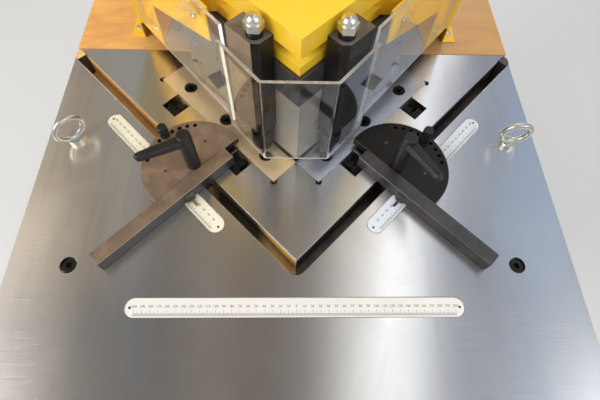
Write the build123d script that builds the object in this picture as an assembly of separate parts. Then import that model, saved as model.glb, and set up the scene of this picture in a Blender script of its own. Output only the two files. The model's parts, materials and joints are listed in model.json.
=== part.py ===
from build123d import *
import os
from math import atan2, cos, degrees, radians, sin, sqrt, tan

# Hydraulic notching machine.
# Every shape is drawn from the notch tip, the point on the table top where the two lower
# cutting edges meet: X to the right, Y away from the operator, Z up. save() then moves it
# to the machine's own frame, whose origin is on the floor under the middle of the table.

# Driving dimensions, in millimetres

# Table
table_height = 900.0
table_width = 740.0
table_front = 330.0
table_rear = 560.0
table_overhang = 60.0
table_corner = 8.0
seam_step = 3.0
plate_thick = 30.0
edge_chamfer = 1.2
seam_gap = 0.6

# V-shaped clamping slot
slot_offset = 113.35
slot_width = 16.0
slot_end_length = 15.0
slot_play = 0.1
rail_width = 63.0
rail_thick = 24.0
rail_floor = 10.0
nut_width = 28.0
nut_thick = 12.0
nut_gap = 0.25

# Scales let into the table
scale_width = 25.0
scale_depth = 3.0
scale_gap = 0.8
scale_sink = 0.2
front_scale_length = 424.0
front_scale_y = -207.0
angle_scale_length = 262.0
angle_scale_start = -4.0
angle_scale_offset = 146.8

# Eyebolts and table bolts
eyebolt_inset = 43.0
eyebolt_y = 36.0
ring_radius = 19.75
ring_section = 4.25
ring_sink = 2.5
collar_radius = 12.0
collar_height = 7.0
thread_radius = 6.0
thread_depth = 26.0
table_bolt_inset = 77.0
table_bolt_y = -154.0
bolt_head_radius = 9.0
bolt_head_height = 12.0
bolt_sink = 1.5
blade_screw_sink = 2.0
counterbore_radius = 10.8
hole_play = 0.15

# Lower blades and their bed
blade_length = 262.0
blade_width = 46.0
blade_play = 0.2
blade_gap = 0.2
relief_radius = 4.8
blade_screw_along = (40.0, 129.0, 217.0)
pocket_size = 32.0
pocket_along = (60.0, 205.0)
jack_sink = 17.0
jack_radius = 5.0
jack_block_width = 26.0
jack_block_depth = 11.7
jack_block_rise = 9.0
jack_play = 0.3
jack_head_radius = 9.0
jack_head_height = 7.0
jack_head_place = 17.5
jack_nose_radius = 4.0
scrap_hole_side = 230.0
bed_thick = 40.0
bed_half_width = 218.0
bed_rear = 335.0
bed_offset = 80.0

# Pressed frame
frame_inner = 175.0
frame_plate = 40.0
jaw_front = -60.0
jaw_depth = 300.0
throat_rear = 340.0
throat_fillet = 25.0
frame_rear = 480.0
frame_clearance = 2.0
jaw_corner = 60.0
upper_jaw_front = 210.0
upper_jaw_bottom = 300.0
upper_jaw_top = 420.0
tie_thick = 30.0
beam_front = 122.0
beam_rear = 270.0
beam_thick = 40.0
beam_corner = 50.0
beam_corner_depth = 88.0

# Ram
knife_bottom = 12.0
knife_top = 137.0
knife_length = 225.0
knife_thick = 30.0
core_bottom = 40.0
holder_top = 182.0
holder_rear = 200.0
lower_plate_inset = 5.0
lower_plate_top = 196.0
neck_inset = 14.0
nose_bottom = 216.0
nose_top = 244.0
crosshead_half = 129.0
crosshead_front = 105.0
crosshead_rear = 320.0
crosshead_bottom = 184.0
crosshead_top = 290.0
ram_chamfer = 8.0
nose_root = 20.0
lower_plate_side = 14.0
knife_screw_along = (48.0, 150.0, 205.0)
knife_screw_heights = (48.0, 99.0)
knife_screw_radius = 4.0
knife_screw_play = 0.2
knife_screw_head = 6.5
knife_screw_head_height = 8.0
knife_screw_length = 20.0
knife_screw_sink = 1.0
knife_counterbore = 7.2

# Cylinder and guides
cylinder_y = 190.0
cylinder_radius = 60.0
cylinder_top = 424.0
flange_radius = 78.0
flange_thick = 20.0
flange_bolt_radius = 3.6
flange_bolt_head = 6.0
flange_bolt_head_height = 7.0
flange_bolt_length = 40.0
spigot_radius = 46.0
spigot_rise = 2.0
bore_radius = 40.0
rod_radius = 25.0
piston_thick = 25.0
chamber_floor = 6.0
chamber_roof = 10.0
piston_room = 3.0
cylinder_chamfer = 3.0
running_gap = 0.05
guide_x = 108.0
guide_y = 232.0
guide_radius = 15.0
guide_overrun = 50.0
bush_radius = 22.0
bush_rim = 4.0
bush_rim_height = 5.0

# Hold-downs
hold_block_start = 40.5
hold_block_length = 47.0
hold_block_width = 27.0
hold_block_chamfer = 7.0
hold_block_bottom = 60.0
hold_block_top = 223.0
hold_along = 54.5
hold_offset = 14.0
hold_rod_radius = 8.0
hold_pad_radius = 13.0
hold_pad_bottom = 10.0
hold_pad_top = 46.0
hold_neck_radius = 9.5
hold_neck_height = 9.0
hold_nut_radius = 11.5
hold_nut_height = 9.0
hold_dome_radius = 9.5
hold_pad_fillet = 2.0

# Guards and housing
guard_half = 44.5
guard_front = -8.0
guard_bottom = 24.0
guard_top = 188.0
guard_thick = 4.0
guard_wing = 80.0
guard_bend = 7.0
wall_half = 262.0
wall_front = 246.0
wall_rear = 545.0
sheet = 2.0
flange_width = 22.0
pane_start = 74.0
pane_end = 324.0
pane_bottom = 35.0
pane_top = 213.0
shield_start = 102.0
shield_bottom = 32.0
shield_window = 260.0
shield_bar_front = 167.0
shield_bar_rear = 116.0
shield_top = 216.0
hood_start = 140.0
hood_bottom = 300.0
hood_top = 430.0
hood_lip = 12.0
pane_screws = ((130.0, 190.0), (268.0, 196.0), (268.0, 71.0))
guard_screw_radius = 4.0
guard_screw_height = 2.6
flange_screw_inset = 22.0
flange_screw_radius = 6.0
flange_screw_height = 3.6
flange_screw_length = 14.0
vent_width = 220.0
vent_pitch = 16.0
vent_count = 7
vent_bottom = 250.0

# Angle stops
stop_along = 90.7
protractor_radius = 74.0
protractor_bottom = 8.2
protractor_top = 20.4
index_radius = 66.0
index_step = 10.0
index_steps_each_way = 4
index_hole_radius = 3.0
fence_axis = 20.0
fence_width = 20.0
fence_bottom = 0.5
fence_top = 22.5
fence_inner = 47.0
fence_outer = 175.0
fence_chamfer = 0.8
pointer_body = 3.0
pointer_width = 12.0
pointer_drop = 6.0
pointer_length = 14.0
pointer_tongue = 3.0
pointer_thick = 2.0
carriage_boss_radius = 9.4
carriage_start = 20.0
carriage_end = 58.0
carriage_width = 40.0
carriage_key_depth = 18.0
carriage_play = 0.1
carriage_web = 12.8
stud_radius = 5.0
stud_gap = 0.5
lever_hub_bottom = 20.7
lever_hub_top = 97.0
lever_hub_radius = 9.6
lever_length = 65.0
lever_arm_level = 83.0
lever_rise = 5.0
lever_root = (13.0, 17.0)
lever_end = (10.0, 12.0)
lever_corner = 4.0
lever_grip_radius = 6.0
lever_hub_fillet = 3.0
lever_hub_roof = 15.5
left_lever_angle = 208.0
right_lever_angle = -60.0
pin_top = 45.0
pin_knob_radius = 6.5
pin_knob_chamfer = 1.2
pin_gap = 0.3
pin_groove_low = 29.4
pin_groove_high = 31.4
pin_groove_depth = 1.5

# Base
foot_height = 50.0
foot_radius = 30.0
foot_pad_height = 14.0
foot_pad_chamfer = 3.0
foot_stud_radius = 8.0
foot_stud_rise = 12.0
foot_nut_radius = 14.0
foot_nut_height = 12.0
foot_plate_thick = 8.0
base_front = -255.0
base_rear = 545.0
angle_size = 50.0
angle_thick = 6.0
panel_thick = 2.0
panel_gap = 4.0
rail_gap = 2.0
side_vent_front = 300.0
side_vent_rear = 460.0
side_vent_drop = 246.0
side_vent_pitch = 18.0
side_vent_count = 6
rear_vent_width = 260.0
rear_vent_rise = 210.0
rear_vent_pitch = 18.0
rear_vent_count = 8
drawer_half = 190.0
drawer_rear = 330.0
drawer_height = 230.0
drawer_sheet = 2.0
drawer_gap = 3.0
drawer_seat = 0.3
drawer_back_gap = 1.0
drawer_window = 5.0
drawer_face_lap = 14.0
drawer_face_drop = 9.0
grip_half = 70.0
grip_depth = 26.0
grip_bar = 11.0
grip_drop = 48.0
runner_thick = 10.0
runner_overlap = 20.0
runner_guide = 25.0
tank_half = 230.0
tank_front = 360.0
tank_rear = 530.0
tank_cap_radius = 15.0
tank_cap_height = 26.0
tank_cap_inset = 23.0
tank_wall = 4.0
motor_radius = 60.0
motor_length = 200.0
motor_end = 10.0
motor_rise = 6.0
motor_clearance = 14.0
motor_offset = 5.0
motor_fin = 7.0
motor_fin_thick = 3.0
motor_fin_end = 20.0
motor_cowl = 28.0
motor_foot_length = 130.0
motor_foot_half = 45.0
terminal_length = 60.0
terminal_depth = 20.0
terminal_height = 50.0
pump_flange_radius = 44.0
pump_flange_thick = 26.0
pump_radius = 32.0
pump_length = 80.0
pump_foot = 30.0
valve_width = 70.0
valve_depth = 60.0
valve_height = 80.0
coil_radius = 17.0
coil_length = 34.0
coil_level = 45.0
pipe_radius = 6.0
pipe_bore = 3.6
pipe_x = 150.0
pipe_rise = 15.0
pipe_bend = 24.0
right_pipe_inset = 40.0
left_pipe_inset = 12.0
box_half = 130.0
box_depth = 43.0
box_top = -64.0
box_height = 126.0
stop_button_x = -80.0
start_button_x = -10.0
switch_x = 70.0
box_wall = 2.0
box_corner = 4.0
button_shaft_radius = 6.0
button_shaft_depth = 18.0
button_play = 0.2
stop_cap_radius = 19.0
stop_cap_seat = 10.0
stop_cap_height = 12.0
start_cap_radius = 11.0
start_cap_seat = 3.5
start_cap_height = 6.0
switch_radius = 22.0
switch_seat = 0.3
switch_disc = 8.0
switch_top = 22.0
switch_bar = 10.0

# Places worked out from the sizes above
root_two = sqrt(2.0)
half = table_width / 2
slot_inner = (slot_offset - slot_width / 2) * root_two
slot_outer = (slot_offset + slot_width / 2) * root_two
steel_rear = half - slot_inner - seam_step
eyebolt_x = half - eyebolt_inset
table_bolt_x = half - table_bolt_inset
base_half_width = half - table_overhang
middle_y = (table_rear - table_front) / 2
floor = -table_height
bed_bottom = -plate_thick - bed_thick
jaw_bottom = bed_bottom - jaw_depth
guard_run = (wall_half - guard_half, wall_front - guard_front)
guard_angle = degrees(atan2(guard_run[1], guard_run[0]))
guard_length = sqrt(guard_run[0] ** 2 + guard_run[1] ** 2)
ring_top = -plate_thick - rail_thick
base_bottom = floor + foot_height
deck_level = base_bottom + angle_size
runner_top = deck_level + runner_thick
foot_plate_top = base_bottom + foot_plate_thick
foot_inset = (angle_size + angle_thick) / 2
foot_x = base_half_width - foot_inset
slot_reach = min(root_two * half - slot_offset, root_two * steel_rear + slot_offset)
slot_end = slot_reach - slot_end_length

os.makedirs("parts", exist_ok=True)


def save(name, *shapes):
    """Write one node, moved from the notch tip to the machine's own frame."""
    placed = [Pos(0, -middle_y, table_height) * shape for shape in shapes]
    solids = [solid for shape in placed for solid in shape.solids()]
    whole = solids[0] if len(solids) == 1 else Compound(solids)
    export_step(whole, f"parts/{name}.step")


def block(x0, x1, y0, y1, z0, z1):
    return Pos((x0 + x1) / 2, (y0 + y1) / 2, (z0 + z1) / 2) * Box(x1 - x0, y1 - y0, z1 - z0)


def post(x, y, radius, low, high):
    return Pos(x, y, (low + high) / 2) * Cylinder(radius, high - low)


def slab(points, low, high):
    return Pos(0, 0, low) * extrude(make_face(Polyline(*points, close=True)), high - low)


def mirrored(points):
    """A closed outline from its right-hand half, listed from front to rear."""
    left = [(-x, y) for x, y in reversed(points) if x != 0]
    return list(points) + left


def left_of(shape):
    return mirror(shape, about=Plane.YZ)


def diagonal(shape):
    """Right-hand 45 degree frame: x runs along the cutting edge, y towards the scrap hole."""
    return Rot(0, 0, 45) * shape


def diagonal_point(along, across):
    return ((along - across) / root_two, (along + across) / root_two)


def on_guard(shape):
    """Right-hand guard frame: x runs back along the side shield, y points inwards."""
    return Pos(guard_half, guard_front, 0) * Rot(0, 0, guard_angle) * shape


def chamfer_rim(shape, axis_end, size):
    return chamfer(shape.edges().group_by(Axis.Z)[axis_end], size)


def rod_along(radius, low, high):
    """A rod on the Z axis between two heights."""
    return post(0, 0, radius, low, high)


def socket_screw(radius, head_radius, head_height, length):
    """Cap screw with its head's top at z 0 and its shank downwards."""
    head = post(0, 0, head_radius, -head_height, 0)
    head = chamfer(head.edges().group_by(Axis.Z)[-1], head_radius * 0.08)
    shank = post(0, 0, radius, -head_height - length, -head_height)
    socket = extrude(RegularPolygon(head_radius * 0.52, 6), -head_height * 0.6)
    return head + shank - socket


def button_screw(radius, height, length):
    """Domed screw with its seat at z 0."""
    ball = radius * 1.6
    dome = Pos(0, 0, height - ball) * Sphere(ball) & post(0, 0, radius, 0, height)
    shank = post(0, 0, radius / 2, -length, 0)
    socket = Pos(0, 0, height) * extrude(RegularPolygon(radius * 0.4, 6), -height * 0.6)
    return dome + shank - socket


def scale_strip(length, width, low, high):
    return Pos(0, 0, low) * extrude(SlotOverall(length, width), high - low)


# Places in the 45 degree frame

angle_scale_middle = angle_scale_start + angle_scale_length / 2
hold_point = diagonal_point(hold_along, -hold_offset)
stop_point = diagonal_point(stop_along, -slot_offset)


# Table plates

def angle_scale_place(shape):
    return diagonal(Pos(angle_scale_middle, -angle_scale_offset, 0) * shape)


def inside_slot(offset):
    """Everything behind a V line that crosses the middle at an offset in front of the notch tip."""
    reach = half + slot_outer
    return slab(mirrored([(0, -offset), (reach, reach - offset)]), -plate_thick, 0)


def make_front_plate():
    plate = block(-half, half, -table_front, steel_rear, -plate_thick, 0)
    plate -= inside_slot(slot_outer)
    corners = plate.edges().filter_by(Axis.Z).group_by(Axis.Y)
    plate = fillet(corners[0], table_corner)
    point = plate.edges().filter_by(Axis.Z).filter_by(lambda e: abs(e.center().X) < 0.01)
    plate = fillet(point, slot_width * 0.8)
    plate = chamfer_rim(plate, -1, edge_chamfer)
    pocket = scale_strip(front_scale_length, scale_width, -scale_depth, 1)
    plate -= Pos(0, front_scale_y, 0) * pocket
    short = angle_scale_place(scale_strip(angle_scale_length, scale_width, -scale_depth, 1))
    hole_depth = bolt_head_height + bolt_sink
    for side in (1, -1):
        plate -= post(side * table_bolt_x, table_bolt_y, counterbore_radius, -hole_depth, 1)
        plate -= post(side * table_bolt_x, table_bolt_y, thread_radius + hole_play, -plate_thick, 0)
        plate -= post(side * eyebolt_x, eyebolt_y, thread_radius + hole_play, -plate_thick, 0)
    return plate - short - left_of(short)


def blade_screw_places():
    return [(along, -blade_width / 2) for along in blade_screw_along]


def make_inner_plate():
    plate = block(-half, half, -table_front, steel_rear, -plate_thick, 0) & inside_slot(slot_inner)
    plate = chamfer_rim(plate, -1, edge_chamfer)
    seat = blade_seat()
    return plate - seat - left_of(seat) - scrap_hole(-plate_thick, 1) - flange_screw_hole() - left_of(
        flange_screw_hole())


def flange_screw_hole():
    x = wall_half + flange_width / 2
    return post(x, wall_front + flange_screw_inset, flange_screw_radius / 2, -flange_screw_length, 1)


def blade_seat():
    """Right-hand opening for a lower blade, with its corner reliefs and jack pockets."""
    play = blade_play
    seat = block(-play, blade_length + play, -blade_width - play, 1, -plate_thick, 1)
    corners = [(0, -blade_width), (blade_length, -blade_width), (blade_length, 0)]
    for along, across in corners:
        seat += post(along, across, relief_radius, -plate_thick, 1)
    for along in pocket_along:
        edge = -blade_width
        size = pocket_size
        seat += block(along - size / 2, along + size / 2, edge - size, edge, -plate_thick, 1)
    return diagonal(seat)


def scrap_hole(low, high):
    side = scrap_hole_side
    return Rot(0, 0, 45) * block(0, side, 0, side, low, high)


def make_rear_deck():
    deck = block(-half, half, steel_rear + seam_gap, table_rear, -plate_thick, 0)
    deck = fillet(deck.edges().filter_by(Axis.Z).group_by(Axis.Y)[-1], table_corner)
    seat = blade_seat()
    deck = deck - seat - left_of(seat) - scrap_hole(-plate_thick, 1)
    gap = frame_clearance
    edge = frame_inner + frame_plate + gap
    deck -= block(-edge, edge, throat_rear - gap, frame_rear + gap, -plate_thick, 1)
    return deck - flange_screw_hole() - left_of(flange_screw_hole())


def rail_half(low, high, inner, outer):
    """Right-hand limb of the V slot between two offsets from its centre line."""
    near = (slot_offset + inner) * root_two
    far = (slot_offset + outer) * root_two
    points = [(0, -far), (half, half - far), (half, half - near), (0, -near)]
    return slab(points, low, high)


def make_slot_rail():
    top = -plate_thick
    rail = rail_half(top - rail_thick, top, -rail_width / 2, rail_width / 2)
    cavity = nut_width / 2 + nut_gap
    rail -= rail_half(top - rail_thick + rail_floor, top, -cavity, cavity)
    width = slot_width / 2 - slot_play
    key = block(slot_end, slot_end + slot_end_length, -width, width, top - rail_thick + rail_floor, 0)
    key = diagonal(Pos(0, -slot_offset, 0) * key)
    return rail, key & block(-half, half, -table_front, table_rear, floor, 10)


save("table_plate_front", make_front_plate())
save("table_plate_inner", make_inner_plate())
save("rear_deck", make_rear_deck())

rail, slot_key = make_slot_rail()
save("slot_rails", rail, left_of(rail), slot_key, left_of(slot_key))


# Scales, eyebolts and table bolts

long_scale = scale_strip(front_scale_length - 2 * scale_gap, scale_width - 2 * scale_gap,
                         -scale_depth, -scale_sink)
short_scale = scale_strip(angle_scale_length - 2 * scale_gap, scale_width - 2 * scale_gap,
                          -scale_depth, -scale_sink)
short_scale = angle_scale_place(short_scale)
save("front_scale", Pos(0, front_scale_y, 0) * long_scale)
save("angle_scales", short_scale, left_of(short_scale))


def make_eyebolt():
    ring_outer = ring_radius + ring_section
    centre = ring_outer + collar_height - ring_sink
    bolt = Pos(0, 0, centre) * Rot(90, 0, 0) * Torus(ring_radius, ring_section)
    collar = chamfer(post(0, 0, collar_radius, 0, collar_height).edges().group_by(Axis.Z)[-1], 1)
    return bolt + collar + post(0, 0, thread_radius, -thread_depth, 0)


eyebolt = make_eyebolt()
save("eyebolts", Pos(eyebolt_x, eyebolt_y, 0) * eyebolt,
     Pos(-eyebolt_x, eyebolt_y, 0) * Rot(0, 0, 45) * eyebolt)

table_screw = socket_screw(thread_radius, bolt_head_radius, bolt_head_height, plate_thick)
table_bolts = [Pos(side * table_bolt_x, table_bolt_y, -bolt_sink) * table_screw for side in (1, -1)]


# Lower blades, their screws, jacks and bed

def make_blade():
    blade = block(0, blade_length, -blade_width, 0, -plate_thick, 0)
    for along, across in blade_screw_places():
        blade -= post(along, across, counterbore_radius, -bolt_head_height - blade_screw_sink, 1)
        blade -= post(along, across, thread_radius + hole_play, -plate_thick, 0)
    return diagonal(blade)


def make_blade_screws():
    screw = socket_screw(thread_radius, bolt_head_radius, bolt_head_height, plate_thick)
    return [diagonal(Pos(x, y, -blade_screw_sink) * screw) for x, y in blade_screw_places()]


def make_jacks():
    """A block in each square pocket, with the screw that pushes the blade up to its line."""
    jacks = []
    reach = jack_block_width / 2
    back = -blade_width - pocket_size
    front = back + jack_play + jack_block_depth
    head_place = back + jack_head_place
    nose_length = pocket_size - jack_head_place - jack_head_height
    for along in pocket_along:
        holder = block(along - reach, along + reach, back + jack_play, front,
                       -plate_thick, -jack_sink + jack_block_rise)
        middle = Pos(along, (back + front) / 2, -jack_sink) * Rot(90, 0, 0)
        holder -= middle * Cylinder(jack_radius + hole_play, 2 * jack_block_depth)
        head = extrude(RegularPolygon(jack_head_radius, 6), jack_head_height)
        body = rod_along(jack_radius, -(jack_head_place - jack_play * 8), 0)
        nose = rod_along(jack_nose_radius, jack_head_height, jack_head_height + nose_length)
        screw = Pos(along, head_place, -jack_sink) * Rot(-90, 0, 0) * (head + body + nose)
        jacks += [diagonal(holder), diagonal(screw)]
    return jacks


def make_bed():
    tip = bed_offset * root_two
    inside = frame_inner - frame_clearance
    shoulder = throat_rear - throat_fillet - frame_clearance
    points = mirrored([(0, -tip), (bed_half_width, bed_half_width - tip), (bed_half_width, shoulder),
                       (inside, shoulder), (inside, bed_rear)])
    bed = slab(points, bed_bottom, -plate_thick) - scrap_hole(bed_bottom, -plate_thick)
    for along, across in blade_screw_places():
        x, y = diagonal_point(along, across)
        for side in (1, -1):
            bed -= post(side * x, y, thread_radius + hole_play, bed_bottom, -plate_thick)
    return bed


blade = make_blade()
blade_screws = make_blade_screws()
jacks = make_jacks()
save("die_blade_right", blade)
save("die_blade_left", left_of(blade))
save("die_screws", *blade_screws, *[left_of(s) for s in blade_screws])
save("die_jacks", *jacks, *[left_of(j) for j in jacks])
save("die_bed", make_bed())


# Pressed frame: two C plates, ties and the beam that carries the cylinder

def make_frame_plate():
    outline = [(jaw_front, bed_bottom), (throat_rear, bed_bottom), (throat_rear, upper_jaw_bottom),
               (upper_jaw_front, upper_jaw_bottom), (upper_jaw_front, upper_jaw_top),
               (frame_rear, upper_jaw_top), (frame_rear, jaw_bottom),
               (jaw_front + jaw_corner, jaw_bottom), (jaw_front, jaw_bottom + jaw_corner)]
    face = Plane.YZ * make_face(Polyline(*outline, close=True))
    plate = Pos(frame_inner, 0, 0) * extrude(face, frame_plate)
    inner = plate.edges().filter_by(Axis.X).filter_by(
        lambda e: abs(e.center().Y - throat_rear) < 0.1)
    return fillet(inner, throat_fillet)


def flange_bolt_places():
    reach = (flange_radius + cylinder_radius) / 2 + 1
    turns = [radians(a) for a in (45, 135, 225, 315)]
    return [(reach * cos(turn), cylinder_y + reach * sin(turn)) for turn in turns]


def make_ties():
    beam_top = upper_jaw_bottom + beam_thick
    front = block(-frame_inner, frame_inner, jaw_front, jaw_front + tie_thick, jaw_bottom, bed_bottom)
    web = block(-frame_inner, frame_inner, frame_rear - tie_thick, frame_rear, jaw_bottom, upper_jaw_top)
    shoulder = frame_inner - beam_corner
    outline = [(0, beam_front), (shoulder, beam_front),
               (frame_inner, beam_front + beam_corner_depth), (frame_inner, beam_rear)]
    beam = slab(mirrored(outline), upper_jaw_bottom, beam_top)
    beam -= post(0, cylinder_y, spigot_radius + hole_play, upper_jaw_bottom, beam_top)
    for side in (1, -1):
        beam -= post(side * guide_x, guide_y, bush_radius + hole_play, upper_jaw_bottom, beam_top)
    for x, y in flange_bolt_places():
        beam -= post(x, y, flange_bolt_radius + hole_play, upper_jaw_bottom, beam_top)
    return front, web, beam


frame_plate_right = make_frame_plate()
save("frame_plate_right", frame_plate_right)
save("frame_plate_left", left_of(frame_plate_right))
save("frame_ties", *make_ties())


# Cylinder, piston rod and guides

beam_level = upper_jaw_bottom + beam_thick
flange_level = beam_level + flange_thick
chamber_low = beam_level + chamber_floor
chamber_high = cylinder_top - chamber_roof
piston_top = chamber_high - piston_room
pipe_height = flange_level + pipe_rise


def make_cylinder():
    body = post(0, cylinder_y, spigot_radius, upper_jaw_bottom + spigot_rise, beam_level)
    body += post(0, cylinder_y, flange_radius, beam_level, flange_level)
    barrel = post(0, cylinder_y, cylinder_radius, flange_level, cylinder_top)
    body += chamfer(barrel.edges().group_by(Axis.Z)[-1], cylinder_chamfer)
    body -= post(0, cylinder_y, bore_radius, chamber_low, chamber_high)
    body -= post(0, cylinder_y, rod_radius + running_gap, upper_jaw_bottom, chamber_low)
    for side in (1, -1):
        port = Pos(side * cylinder_radius, cylinder_y, pipe_height) * Rot(0, 90, 0)
        body -= port * Cylinder(pipe_bore, 2 * (cylinder_radius - bore_radius) + 2)
    for x, y in flange_bolt_places():
        body -= post(x, y, flange_bolt_radius + hole_play, beam_level, flange_level)
    return body


def make_piston_rod():
    rod = post(0, cylinder_y, rod_radius, crosshead_top, piston_top)
    return rod + post(0, cylinder_y, bore_radius - running_gap, piston_top - piston_thick, piston_top)


def make_guides():
    rods = []
    bushes = []
    for side in (1, -1):
        rods.append(post(side * guide_x, guide_y, guide_radius, crosshead_top, beam_level + guide_overrun))
        x = side * guide_x
        rim_top = beam_level + bush_rim_height
        bush = post(x, guide_y, bush_radius, upper_jaw_bottom, beam_level)
        bush += post(x, guide_y, bush_radius + bush_rim, beam_level, rim_top)
        bush -= post(x, guide_y, guide_radius + running_gap, upper_jaw_bottom, rim_top)
        bushes.append(bush)
    return rods, bushes


guide_rods, guide_bushes = make_guides()
save("cylinder_body", make_cylinder())
save("piston_rod", make_piston_rod())
save("guide_rods", *guide_rods)
save("guide_bushes", *guide_bushes)
flange_bolt = socket_screw(flange_bolt_radius, flange_bolt_head, flange_bolt_head_height,
                           flange_bolt_length)
bolt_level = flange_level + flange_bolt_head_height
flange_bolts = [Pos(x, y, bolt_level) * flange_bolt for x, y in flange_bolt_places()]
save("socket_bolts", *table_bolts, *flange_bolts)


# Ram: yellow head, dark knife holder, upper knives

def wedge(inset, rear, half_width, low, high):
    """A right-angled nose that points at the operator, its sides set in from the cutting planes."""
    tip = inset * root_two
    corner = min(half_width, rear - tip)
    points = [(0, tip), (corner, corner + tip)]
    if rear - tip > half_width:
        points.append((corner, rear))
    return slab(mirrored(points), low, high)


def make_ram_head():
    head = block(-crosshead_half, crosshead_half, crosshead_front, crosshead_rear,
                 crosshead_bottom, crosshead_top)
    head = chamfer(head.edges().filter_by(Axis.Z), ram_chamfer)
    head += wedge(blade_gap, crosshead_front + nose_root, crosshead_half, nose_bottom, nose_top)
    rear = crosshead_rear - nose_root
    side = crosshead_half - lower_plate_side
    head += wedge(lower_plate_inset, rear, side, holder_top, lower_plate_top)
    return head + wedge(neck_inset, rear, side, lower_plate_top, nose_bottom)


def knife_screw_places():
    return [(along, z) for along in knife_screw_along for z in knife_screw_heights]


def make_holder():
    """Holder plate over the knives, with the core that the knives are screwed against."""
    reach = knife_length / root_two
    holder = wedge(blade_gap, holder_rear, reach, knife_top, holder_top)
    inner = blade_gap + knife_thick
    corner = (knife_length - inner) / root_two
    return holder + wedge(inner, holder_rear, corner, core_bottom, knife_top)


def make_knife():
    knife = block(-knife_thick, knife_length, blade_gap, blade_gap + knife_thick, knife_bottom, knife_top)
    knife = diagonal(knife) & block(0, half, -half, half, 0, table_height)
    for along, z in knife_screw_places():
        hole = Pos(along, blade_gap, z) * Rot(90, 0, 0)
        recess = knife_screw_head_height + knife_screw_sink
        knife -= diagonal(hole * Cylinder(knife_counterbore, 2 * recess))
        knife -= diagonal(hole * Cylinder(knife_screw_radius + knife_screw_play, 3 * knife_thick))
    return knife


def make_knife_screws():
    screws = []
    screw = socket_screw(knife_screw_radius, knife_screw_head, knife_screw_head_height,
                         knife_screw_length)
    for along, z in knife_screw_places():
        place = Pos(along, blade_gap + knife_screw_sink, z) * Rot(90, 0, 0)
        screws.append(diagonal(place * screw))
    return screws


knife = make_knife()
knife_screws = make_knife_screws()
save("ram_head", make_ram_head())
save("knife_holder", make_holder())
save("knife_right", knife)
save("knife_left", left_of(knife))
save("knife_screws", *knife_screws, *[left_of(s) for s in knife_screws])


# Hold-downs

def make_hold_block():
    start = hold_block_start
    end = start + hold_block_length
    body = block(start, end, -hold_block_width, blade_gap, hold_block_bottom, hold_block_top)
    edges = body.edges().filter_by(Axis.Z)
    front = edges.filter_by(lambda e: e.center().X < start + 1 and e.center().Y < -1)
    body = chamfer(front, hold_block_chamfer)
    body -= post(hold_along, -hold_offset, hold_rod_radius + running_gap,
                 hold_block_bottom, hold_block_top)
    return diagonal(body)


def make_hold_down():
    """Pressure pad, rod and neck turned in one piece, with a domed nut on top."""
    neck_top = hold_block_top + hold_neck_height
    nut_top = neck_top + hold_nut_height
    rod = post(0, 0, hold_pad_radius, hold_pad_bottom, hold_pad_top)
    rod = fillet(rod.edges().group_by(Axis.Z)[0], hold_pad_fillet)
    rod += post(0, 0, hold_rod_radius, hold_pad_top, neck_top)
    rod += post(0, 0, hold_neck_radius, hold_block_top + 0.1, neck_top)
    nut = Pos(0, 0, neck_top) * extrude(RegularPolygon(hold_nut_radius, 6), hold_nut_height)
    dome = Pos(0, 0, nut_top) * Sphere(hold_dome_radius)
    nut += dome & post(0, 0, hold_nut_radius, nut_top, nut_top + hold_dome_radius)
    return [Pos(*hold_point, 0) * rod, Pos(*hold_point, 0) * nut]


hold_block = make_hold_block()
hold_down = make_hold_down()
save("hold_down_blocks", hold_block, left_of(hold_block))
save("hold_down_right", *hold_down)
save("hold_down_left", *[left_of(piece) for piece in hold_down])


# Guards, panes and housing

def make_front_guard():
    turn = radians(guard_angle)
    setback = guard_thick * tan(turn / 2)
    end_x = guard_half + guard_wing * cos(turn)
    end_y = guard_front + guard_wing * sin(turn)
    inner_x = end_x - guard_thick * sin(turn)
    inner_y = end_y + guard_thick * cos(turn)
    right = [(guard_half, guard_front), (end_x, end_y), (inner_x, inner_y),
             (guard_half - setback, guard_front + guard_thick)]
    outline = right + [(-x, y) for x, y in reversed(right)]
    guard = slab(outline, guard_bottom, guard_top)
    edges = guard.edges().filter_by(Axis.Z)
    outer = edges.filter_by(lambda e: abs(e.center().Y - guard_front) < 0.1)
    guard = fillet(outer, guard_bend)
    edges = guard.edges().filter_by(Axis.Z)
    inner = edges.filter_by(lambda e: abs(e.center().Y - guard_front - guard_thick) < 0.1)
    return fillet(inner, guard_bend - guard_thick)


def upright(points, near, far):
    """A panel standing on the guard line, outlined by distance along it and height."""
    face = make_face(Polyline(*points, close=True))
    panel = Rot(90, 0, 0) * extrude(face, far - near)
    return on_guard(Pos(0, far, 0) * panel)


def screw_holes():
    radius = guard_screw_radius / 2 + hole_play
    near = guard_thick - 1
    far = guard_thick * 2 + sheet + 1
    holes = []
    for along, z in pane_screws:
        hole = Pos(along, (near + far) / 2, z) * Rot(90, 0, 0) * Cylinder(radius, far - near)
        holes.append(on_guard(hole))
    return holes


def make_pane():
    points = [(pane_start, pane_bottom), (pane_end, pane_bottom),
              (pane_end, pane_top), (pane_start, pane_top)]
    pane = upright(points, guard_thick, guard_thick * 2)
    for hole in screw_holes():
        pane -= hole
    return pane


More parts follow.
